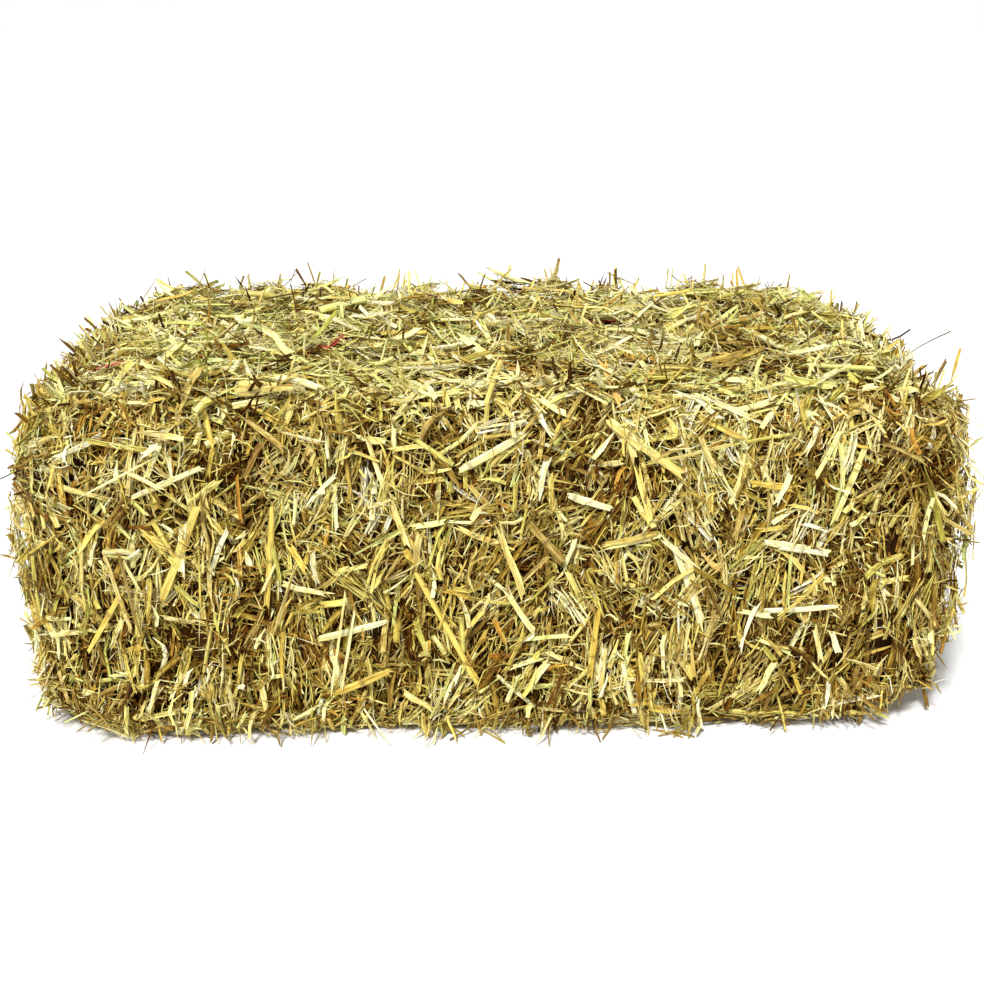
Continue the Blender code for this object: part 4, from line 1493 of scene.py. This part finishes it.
laying = bpy.data.node_groups.new("lay_straws", "GeometryNodeTree")
laying.interface.new_socket("Places", in_out="INPUT", socket_type="NodeSocketGeometry")
laying.interface.new_socket("Straws", in_out="OUTPUT", socket_type="NodeSocketGeometry")


def named(attribute, data_type):
    """The output of a node that reads an attribute of the laid points."""
    reader = add(laying, "GeometryNodeInputNamedAttribute", {"Name": attribute}, data_type=data_type)
    return reader.outputs["Attribute"]


places_in = add(laying, "NodeGroupInput").outputs[0]
shapes = add(
    laying,
    "GeometryNodeCollectionInfo",
    {"Collection": shelf, "Separate Children": True, "Reset Children": True},
)
copies = add(laying, "GeometryNodeInstanceOnPoints", {
    "Points": places_in,
    "Instance": shapes.outputs[0],
    "Pick Instance": True,
    "Instance Index": named("kind", "INT"),
    "Rotation": named("turn", "QUATERNION"),
    "Scale": named("size", "FLOAT_VECTOR"),
})
real = add(laying, "GeometryNodeRealizeInstances", {0: copies.outputs[0]})
along_share = named("along", "FLOAT")
rest_share = math_node(laying, "SUBTRACT", 1.0, along_share)
curve_share = math_node(laying, "MULTIPLY", math_node(laying, "MULTIPLY", along_share, rest_share), 4.0)
bow_offset = add(
    laying,
    "ShaderNodeVectorMath",
    {0: named("bow", "FLOAT_VECTOR"), "Scale": curve_share},
    operation="SCALE",
)
bent = add(laying, "GeometryNodeSetPosition", {"Geometry": real.outputs[0], "Offset": bow_offset.outputs[0]})
bent_place = add(laying, "GeometryNodeInputPosition").outputs[0]
reached = add(laying, "ShaderNodeSeparateXYZ", {"Vector": bent_place})
off_floor = add(laying, "ShaderNodeCombineXYZ", {
    "X": reached.outputs["X"],
    "Y": reached.outputs["Y"],
    "Z": math_node(laying, "MAXIMUM", reached.outputs["Z"], FLOOR_GAP),
})
pressed = add(laying, "GeometryNodeSetPosition", {
    "Geometry": bent.outputs[0],
    "Position": off_floor.outputs[0],
})
add(laying, "NodeGroupOutput", {0: pressed.outputs[0]})

# %% Growing one flake's straws


def grow(name, laid):
    """A joined mesh of laid straws, made real and bent."""
    points = bpy.data.meshes.new(name + "_places")
    points.from_pydata([straw[0] for straw in laid], [], [])
    columns = (
        ("turn", "QUATERNION", "value", [value for straw in laid for value in straw[1]]),
        ("size", "FLOAT_VECTOR", "vector", [value for straw in laid for value in straw[2]]),
        ("bow", "FLOAT_VECTOR", "vector", [value for straw in laid for value in straw[3]]),
        ("kind", "INT", "value", [straw[4] for straw in laid]),
        ("tint", "FLOAT", "value", [straw[5] for straw in laid]),
        ("hue", "FLOAT", "value", [straw[6] for straw in laid]),
        ("seed", "FLOAT", "value", [straw[7] for straw in laid]),
    )
    for column, data_type, field, values in columns:
        points.attributes.new(column, data_type, "POINT").data.foreach_set(field, values)
    carrier = bpy.data.objects.new(name + "_places", points)
    bpy.context.scene.collection.objects.link(carrier)
    carrier.modifiers.new("lay", "NODES").node_group = laying
    graph = bpy.context.evaluated_depsgraph_get()
    mesh = bpy.data.meshes.new_from_object(carrier.evaluated_get(graph))
    bpy.data.objects.remove(carrier)
    bpy.data.meshes.remove(points)
    for spare in ("turn", "size", "bow", "kind", "along"):
        if spare in mesh.attributes:
            mesh.attributes.remove(mesh.attributes[spare])
    mesh.name = name
    obj = bpy.data.objects.new(name, mesh)
    bpy.context.scene.collection.objects.link(obj)
    return obj


coats = {name: grow(name + "_straw", straws[name]) for name in FLAKES}
print("triangles:", {name: len(coat.data.polygons) for name, coat in coats.items()})
print("in all:", sum(len(coat.data.polygons) for coat in coats.values()))

# %% Each coat joins the bale, and its flake is hidden
for name, coat in coats.items():
    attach(coat, "root")
    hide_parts(name)

# %% [markdown]
# ## Deeper straw
#
# Between the outer straws one sees into the flakes, where the straw lies too tight for light to
# reach. A dark block of fibres fills them, a finger's breadth beneath the skin, in one piece
# from end to end. It is bevelled while its sides are measured in roundings, so that stretching it
# to size gives each direction its own rounding. Its underside rises with the right end.

# %% The deep straw
DEEP_GAP = 0.0125
DEEP_ROUNDING = Vector((0.086, 0.045, 0.066))
DEEP_FIBRES = (420.0, 420.0, 60.0)
DEEP_RELIEF = 0.004
DEEP_COLOURS = (paint(26, 13, 4), paint(78, 50, 18))

deep = bmesh.new()
bmesh.ops.create_cube(deep, size=1)
deep_size = body_high - body_low - Vector((2, 2, 2)) * DEEP_GAP
in_roundings = [extent / rounding for extent, rounding in zip(deep_size, DEEP_ROUNDING)]
bmesh.ops.scale(deep, vec=in_roundings, verts=deep.verts)
bmesh.ops.bevel(
    deep,
    geom=deep.edges[:],
    offset=1,
    offset_type="OFFSET",
    affect="EDGES",
    segments=5,
    profile=0.5,
    material=-1,
)
bmesh.ops.scale(deep, vec=DEEP_ROUNDING, verts=deep.verts)
bmesh.ops.translate(deep, vec=middle, verts=deep.verts)
for vert in deep.verts:
    if vert.co.z < middle.z:
        vert.co.z += lowest_at(vert.co)
deep_straw = new_object("deep_straw", deep)

# %% The material of the deep straw
deep_material = bpy.data.materials.new("deep_straw")
deep_material.use_nodes = True
deep_tree = deep_material.node_tree
deep_shader = deep_tree.nodes["Principled BSDF"]
deep_place = add(deep_tree, "ShaderNodeTexCoord").outputs["Object"]
deep_fibres = add(deep_tree, "ShaderNodeMapping", {"Vector": deep_place, "Scale": DEEP_FIBRES})
deep_noise = add(deep_tree, "ShaderNodeTexNoise", {
    "Vector": deep_fibres.outputs[0],
    "Scale": 1.0,
    "Detail": 2.0,
}).outputs["Fac"]
deep_colour = blend_colours(deep_tree, deep_noise, *DEEP_COLOURS)
deep_relief = add(deep_tree, "ShaderNodeBump", {"Height": deep_noise, "Distance": DEEP_RELIEF})
deep_tree.links.new(deep_relief.outputs["Normal"], deep_shader.inputs["Normal"])
deep_tree.links.new(deep_colour, deep_shader.inputs["Base Color"])
deep_shader.inputs["Roughness"].default_value = 0.9
deep_shader.inputs["Specular IOR Level"].default_value = 0.1
deep_straw.data.materials.append(deep_material)
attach(deep_straw, "root")

# %% [markdown]
# ## The loose stalks
#
# The stalks that catch the eye are whole stems. A wheat stem is a tube. Pressed flat, it keeps a
# ridge along either side and a crease between them, but at its joint it is solid and stays
# round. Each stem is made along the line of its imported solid.

# %% A whole stem
STEM_SIDES = 14
STEM_FLATNESS = 0.5
STEM_STEP = 0.007
JOINT_RINGS = (
    (-0.0042, 1.0),
    (-0.0018, 1.14),
    (-0.0005, 1.22),
    (0.0006, 1.12),
    (0.0016, 1.2),
    (0.004, 1.0),
)
JOINT_APART = 0.02
JOINT_REACH = 0.010
CREASE_DEPTHS = (0.35, 0.7)
CREASE_ASIDE = 0.2
CREASE_WIDTH = 0.17
STEM_WOBBLE = 0.05
STEM_WALL = 0.14
STEM_HOLE = 0.004
STEM_SLANT = 0.011
STEM_TEAR = 0.006
TAPER_SHARE = 0.6
TAPER_REACH = (0.010, 0.026)
TAPER_WIDTH = 0.32


def stem_levels(length, joint):
    """The levels at which a stem gets a ring, as shares of its length, closer at the joint."""
    steps = round(length / STEM_STEP)
    even = [i / steps for i in range(1, steps)]
    near = [joint + offset / length for offset, _ in JOINT_RINGS]
    apart = [level for level in even if not near[0] - JOINT_APART < level < near[-1] + JOINT_APART]
    return sorted(apart + near)


def new_whole_stem(length, joint):
    """A jointed stem of unit length and width, pressed flat between its joints."""
    levels = stem_levels(length, joint)
    bm = new_stem(STEM_SIDES, levels, STEM_FLATNESS)
    depth = rng.uniform(*CREASE_DEPTHS)
    aside = rng.uniform(-CREASE_ASIDE, CREASE_ASIDE)
    swells = {round(joint + offset / length, 6): swell for offset, swell in JOINT_RINGS}
    tapers = [rng.uniform(*TAPER_REACH) if rng.random() < TAPER_SHARE else 0 for _ in range(2)]
    for level in (0, *levels, 1):
        ring = at_height(bm, level)
        off_joint = min(abs(level - joint) * length / JOINT_REACH, 1)
        size = swells.get(round(level, 6), 1) * (1 + rng.uniform(-STEM_WOBBLE, STEM_WOBBLE) * off_joint)
        for from_end, reach in zip((level * length, (1 - level) * length), tapers):
            if from_end < reach:
                size *= TAPER_WIDTH + (1 - TAPER_WIDTH) * math.sqrt(from_end / reach)
        for vert in ring:
            fold = math.exp(-((vert.co.x - aside) / CREASE_WIDTH) ** 2)
            vert.co.y *= 1 - fold * depth * off_joint
            vert.co.x *= size
            vert.co.y *= size
    slant_ends(bm, STEM_SLANT / length, STEM_TEAR / length)
    hollow(bm, STEM_WALL, STEM_HOLE / length)
    return bm


# %% [markdown]
# Many stems keep a strip of the leaf that grew from their joint. It starts as a sheath, a sheet
# bent round one side of the stem, and ends torn in uneven points.

# %% The sheath of a leaf
SHEATH_SHARE = 0.55
SHEATH_LENGTHS = (0.016, 0.034)
SHEATH_ARC = 2.3
SHEATH_SIZE = (0.60, 0.34)
SHEATH_WALL = 0.035
SHEATH_COLUMNS = 5
SHEATH_ROWS = 4
SHEATH_TEARS = (0.55, 1.0)
SHEATH_FLARE = 0.25


def add_sheath(bm, length, joint):
    """Adds a torn strip of leaf that hugs a unit stem from its joint onwards."""
    reach = rng.uniform(*SHEATH_LENGTHS) / length
    grow_up = 1 if joint + reach < 1 else -1
    strip = bmesh.new()
    bmesh.ops.create_grid(strip, x_segments=SHEATH_COLUMNS, y_segments=SHEATH_ROWS, size=0.5)
    torn = {}
    for vert in strip.verts:
        column = round(vert.co.x * SHEATH_COLUMNS)
        torn.setdefault(column, rng.uniform(*SHEATH_TEARS))
        turn = vert.co.x * SHEATH_ARC
        along = (vert.co.y + 0.5) * torn[column]
        flare = 1 + SHEATH_FLARE * along**2
        vert.co.x = SHEATH_SIZE[0] * math.sin(turn) * flare
        vert.co.y = -SHEATH_SIZE[1] * math.cos(turn) * flare
        vert.co.z = joint + grow_up * along * reach
    bmesh.ops.recalc_face_normals(strip, faces=strip.faces)
    bmesh.ops.solidify(strip, geom=strip.faces[:], thickness=SHEATH_WALL)
    holder = bpy.data.meshes.new("sheath")
    strip.to_mesh(holder)
    strip.free()
    bm.from_mesh(holder)
    bpy.data.meshes.remove(holder)


# %% Dressing one loose stalk
STALK_TINTS = {"golden": (0.54, 0.68), "cream": (0.80, 0.93), "tan": (0.34, 0.46)}
STALK_HUES = {"golden": (0.15, 0.75), "cream": (-0.6, 0.2), "tan": (-0.5, 0.6)}
MARK_REACH = 0.0035
STEM_EDGE = math.radians(60)
SAG_SPREAD = 0.6
SAG_WIDTH = 0.3


def carry_marks(bm, joint, length):
    """Writes a stem's map, joint mark and shading."""
    knuckle = bm.verts.layers.float.new("knuckle")
    uv = bm.loops.layers.uv.new("straw")
    for vert in bm.verts:
        vert[knuckle] = max(0, 1 - (abs(vert.co.z - joint) * length / MARK_REACH) ** 2)
    for face in bm.faces:
        face.smooth = True
        side = 0.5 if face.normal.y < 0 else 0.0
        for loop in face.loops:
            loop[uv].uv = (side + (loop.vert.co.x + 0.5) / 2, min(max(loop.vert.co.z, 0), 1))
    for edge in bm.edges:
        edge.smooth = len(edge.link_faces) == 2 and edge.calc_face_angle(0) < STEM_EDGE


def give_numbers(mesh, tint, hue, seed):
    """Gives every point of a mesh the same tint, hue and seed."""
    for name, value in (("tint", tint), ("hue", hue), ("seed", seed)):
        layer = mesh.attributes.new(name, "FLOAT", "POINT")
        layer.data.foreach_set("value", [value] * len(mesh.vertices))


def dress_stalk(name):
    """Puts a detailed stem in the place of a loose stalk's solid."""
    (low, high), width, joint = stalk_lines[name]
    length = (high - low).length
    axis = (high - low).normalized()
    outward = outward_at((low + high) / 2)
    across = axis.cross(outward).normalized()
    stem = new_whole_stem(length, joint)
    if rng.random() < SHEATH_SHARE:
        add_sheath(stem, length, joint)
    carry_marks(stem, joint, length)
    sag = rng.uniform(-SAG_SPREAD, SAG_SPREAD) * width * SAG_WIDTH
    for vert in stem.verts:
        at = vert.co.copy()
        bend_out = sag * 4 * at.z * (1 - at.z)
        vert.co = low + axis * at.z * length + across * (at.x * width + bend_out)
        vert.co += across.cross(axis) * -at.y * width
    bmesh.ops.recalc_face_normals(stem, faces=stem.faces)
    obj = new_object(name + "_stem", stem)
    slot = frame_slots[name]
    kind = slot.split("_")[0]
    tint, hue = rng.uniform(*STALK_TINTS[kind]), rng.uniform(*STALK_HUES[kind])
    give_numbers(obj.data, tint, hue, rng.uniform(0, HIGHEST_SEED))
    obj.data.materials.append(straw_material)
    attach(obj, "root")
    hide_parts(name)
    return obj


frame_slots = {
    name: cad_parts[name].data.materials[0].name.split(".")[0] for name in STALKS
}
stems = [dress_stalk(name) for name in STALKS]
print("stems:", len(stems), "triangles each:", [2 * len(stem.data.polygons) for stem in stems[:3]])

# %% [markdown]
# ## The twine
#
# Two loops of red baler twine hold the bale. It is spun from fibrillated plastic film, three
# strands twisted together, and it bites into the straw until only glimpses show. Its line is
# found by rays from the middle of the loop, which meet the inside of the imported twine.

# %% The line of a twine
TWINE_RADIUS = 0.0018
TWINE_RAYS = 1440
TWINE_STEP = 0.0022
TWINE_EVEN = 5


def tree_of(name):
    """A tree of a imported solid's faces, for rays."""
    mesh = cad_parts[name].data
    places = [vert.co.copy() for vert in mesh.vertices]
    return BVHTree.FromPolygons(places, [list(face.vertices) for face in mesh.polygons])


def even_loop(points, step):
    """A closed line with its points an equal step apart."""
    gaps = np.linalg.norm(np.roll(points, -1, axis=0) - points, axis=1)
    walked = np.concatenate(([0], np.cumsum(gaps)))
    count = round(walked[-1] / step)
    closed = np.vstack((points, points[:1]))
    at = np.linspace(0, walked[-1], count, endpoint=False)
    return np.stack([np.interp(at, walked, closed[:, axis]) for axis in range(3)], axis=1), walked[-1]


def twine_line(name):
    """The closed middle line of a packed twine, clockwise seen from the front, and its length."""
    low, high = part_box(name)
    centre = Vector((0, (low.y + high.y) / 2, (low.z + high.z) / 2))
    tree = tree_of(name)
    points = []
    for number in range(TWINE_RAYS):
        turn = math.tau * number / TWINE_RAYS
        points.append(tree.ray_cast(centre, Vector((math.cos(turn), 0, math.sin(turn))))[0])
    inside, _ = even_loop(np.array(points), TWINE_STEP)
    for _ in range(TWINE_EVEN):
        inside = (np.roll(inside, 1, axis=0) + inside * 2 + np.roll(inside, -1, axis=0)) / 4
    tangent = np.roll(inside, -1, axis=0) - np.roll(inside, 1, axis=0)
    tangent /= np.linalg.norm(tangent, axis=1)[:, None]
    outward = np.stack((tangent[:, 2], tangent[:, 1] * 0, -tangent[:, 0]), axis=1)
    return even_loop(inside + outward * TWINE_RADIUS, TWINE_STEP)


# %% A twisted cord along a line
STRAND_POINTS = 3
STRANDS = 3
STRAND_VALLEY = 0.74
TWIST_PITCH = 0.021


def new_ring_cord(line, radius, turns):
    """A closed cord of three strands: a grid rolled up round a closed line, with its seams joined."""
    sides = STRANDS * STRAND_POINTS
    steps = len(line)
    ahead = np.roll(line, -1, axis=0) - np.roll(line, 1, axis=0)
    bm = bmesh.new()
    bmesh.ops.create_grid(bm, x_segments=sides, y_segments=steps, size=0.5)
    uv = bm.loops.layers.uv.new("cord")
    for face in bm.faces:
        face.smooth = True
        for loop in face.loops:
            loop[uv].uv = (loop.vert.co.x + 0.5, loop.vert.co.y + 0.5)
    for vert in bm.verts:
        corner, step = round((vert.co.x + 0.5) * sides), round((vert.co.y + 0.5) * steps)
        side = Vector((0, 1, 0))
        up = Vector(ahead[step % steps]).cross(side).normalized()
        side = up.cross(Vector(ahead[step % steps])).normalized()
        phase = math.tau * (corner / sides + turns * step / steps)
        size = radius * (STRAND_VALLEY if corner % STRAND_POINTS == 0 else 1)
        vert.co = Vector(line[step % steps]) + (side * math.cos(phase) + up * math.sin(phase)) * size
    bmesh.ops.remove_doubles(bm, verts=bm.verts[:], dist=1e-6)
    bmesh.ops.recalc_face_normals(bm, faces=bm.faces)
    return bm


# %% The material of the twine
FILAMENT_SCALE = 900.0
DUST_SCALE = 60.0
DUST_SHARE = 0.35
TWINE_REDS = (paint(148, 38, 30), paint(206, 84, 66))
DUST_COLOUR = paint(176, 142, 92)

twine_material = bpy.data.materials.new("twine")
twine_material.use_nodes = True
twine_tree = twine_material.node_tree
twine_shader = twine_tree.nodes["Principled BSDF"]
cord_place = add(twine_tree, "ShaderNodeTexCoord").outputs["Object"]
filament = add(twine_tree, "ShaderNodeTexNoise", {
    "Vector": cord_place,
    "Scale": FILAMENT_SCALE,
    "Detail": 3.0,
})
filament_share = spread(twine_tree, filament.outputs["Fac"], 0.35, 0.65)
dust = add(twine_tree, "ShaderNodeTexNoise", {"Vector": cord_place, "Scale": DUST_SCALE, "Detail": 2.0})
dust_patches = spread(twine_tree, dust.outputs["Fac"], 0.45, 0.75)
dust_share = math_node(twine_tree, "MULTIPLY", dust_patches, DUST_SHARE)
twine_red = blend_colours(twine_tree, filament_share, *TWINE_REDS)
dusty_red = blend_colours(twine_tree, dust_share, twine_red, DUST_COLOUR)
twine_tree.links.new(dusty_red, twine_shader.inputs["Base Color"])
twine_relief = add(twine_tree, "ShaderNodeBump", {
    "Height": filament_share,
    "Strength": 0.5,
    "Distance": 0.0003,
})
twine_tree.links.new(twine_relief.outputs["Normal"], twine_shader.inputs["Normal"])
twine_shader.inputs["Roughness"].default_value = 0.42

# %% [markdown]
# The knot is the baler's own: the two ends are twisted round each other and pulled through. Its
# lump is a cord that runs round twice through itself, with two cut tails.

# %% The knot
KNOT_X = GLIMPSES[0]
BUMP_HEIGHT = 0.009
BUMP_SIZE = 0.012
KNOT_HALF = (0.0062, 0.0036, 0.0030)
KNOT_STEPS = 84
KNOT_RADIUS = 0.00135
KNOT_RISE = 0.0019
KNOT_TWISTS = 6
TAIL_LENGTH = 0.023
TAIL_LEANS = (52, -64)
TAIL_SIDES = 7
TAIL_OPENING = 0.07
TAIL_ASIDE = 0.4
TAIL_FOOT = 0.5
TAIL_TIP = 0.3


def knot_line(centre):
    """A closed line that passes through itself as a knot does."""
    turns = [math.tau * step / KNOT_STEPS for step in range(KNOT_STEPS)]
    rows = [(
        centre.x + KNOT_HALF[0] / 3 * (math.sin(t) + 2 * math.sin(2 * t)),
        centre.y + KNOT_HALF[1] / 3 * (math.cos(t) - 2 * math.cos(2 * t)),
        centre.z - KNOT_HALF[2] * math.sin(3 * t),
    ) for t in turns]
    return np.array(rows)


def add_tail(bm, centre, lean):
    """A cut end of twine that stands out of the knot and opens into its strands."""
    direction = Vector((math.sin(math.radians(lean)), 0, math.cos(math.radians(lean))))
    for strand in range(STRANDS):
        open_out = Matrix.Rotation(math.tau * strand / STRANDS, 3, direction) @ Vector((0, 1, 0))
        aim_at = (direction + open_out * TAIL_OPENING).normalized()
        tail_middle = centre + aim_at * TAIL_LENGTH / 2 + open_out * TWINE_RADIUS * TAIL_ASIDE
        turn = aim_at.to_track_quat("Z", "Y").to_matrix().to_4x4()
        bmesh.ops.create_cone(
            bm,
            cap_ends=True,
            segments=TAIL_SIDES,
            radius1=TWINE_RADIUS * TAIL_FOOT,
            radius2=TWINE_RADIUS * TAIL_TIP,
            depth=TAIL_LENGTH,
            matrix=Matrix.Translation(tail_middle) @ turn,
        )


def raise_bumps(line):
    """Lifts the near twine where firm straw under it holds it up, so that it shows on the top."""
    for x in GLIMPSES:
        lifts = BUMP_HEIGHT * np.exp(-((line[:, 0] - x) / BUMP_SIZE) ** 2)
        line[:, 2] += np.where(line[:, 2] > middle.z, lifts, 0)


def make_twine(name):
    """A twine with its knot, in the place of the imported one."""
    line, length = twine_line(name)
    if name == "twine_near":
        raise_bumps(line)
    turns = STRANDS * round(length / TWIST_PITCH / STRANDS)
    bm = new_ring_cord(line, TWINE_RADIUS, turns)
    nearest = min(line, key=lambda point: abs(point[0] - KNOT_X) + (point[2] < middle.z))
    centre = Vector(nearest) + Vector((0, 0, KNOT_RISE))
    knot = new_ring_cord(knot_line(centre), KNOT_RADIUS, KNOT_TWISTS)
    for lean in TAIL_LEANS:
        add_tail(knot, centre, lean)
    spare = bpy.data.meshes.new("knot")
    knot.to_mesh(spare)
    knot.free()
    bm.from_mesh(spare)
    bpy.data.meshes.remove(spare)
    obj = new_object(name + "_cord", bm)
    obj.data.materials.append(twine_material)
    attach(obj, "root")
    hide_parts(name)
    print(name, "length", round(length, 3), "twists", turns, "triangles", 2 * len(obj.data.polygons))


for name in ("twine_near", "twine_far"):
    make_twine(name)
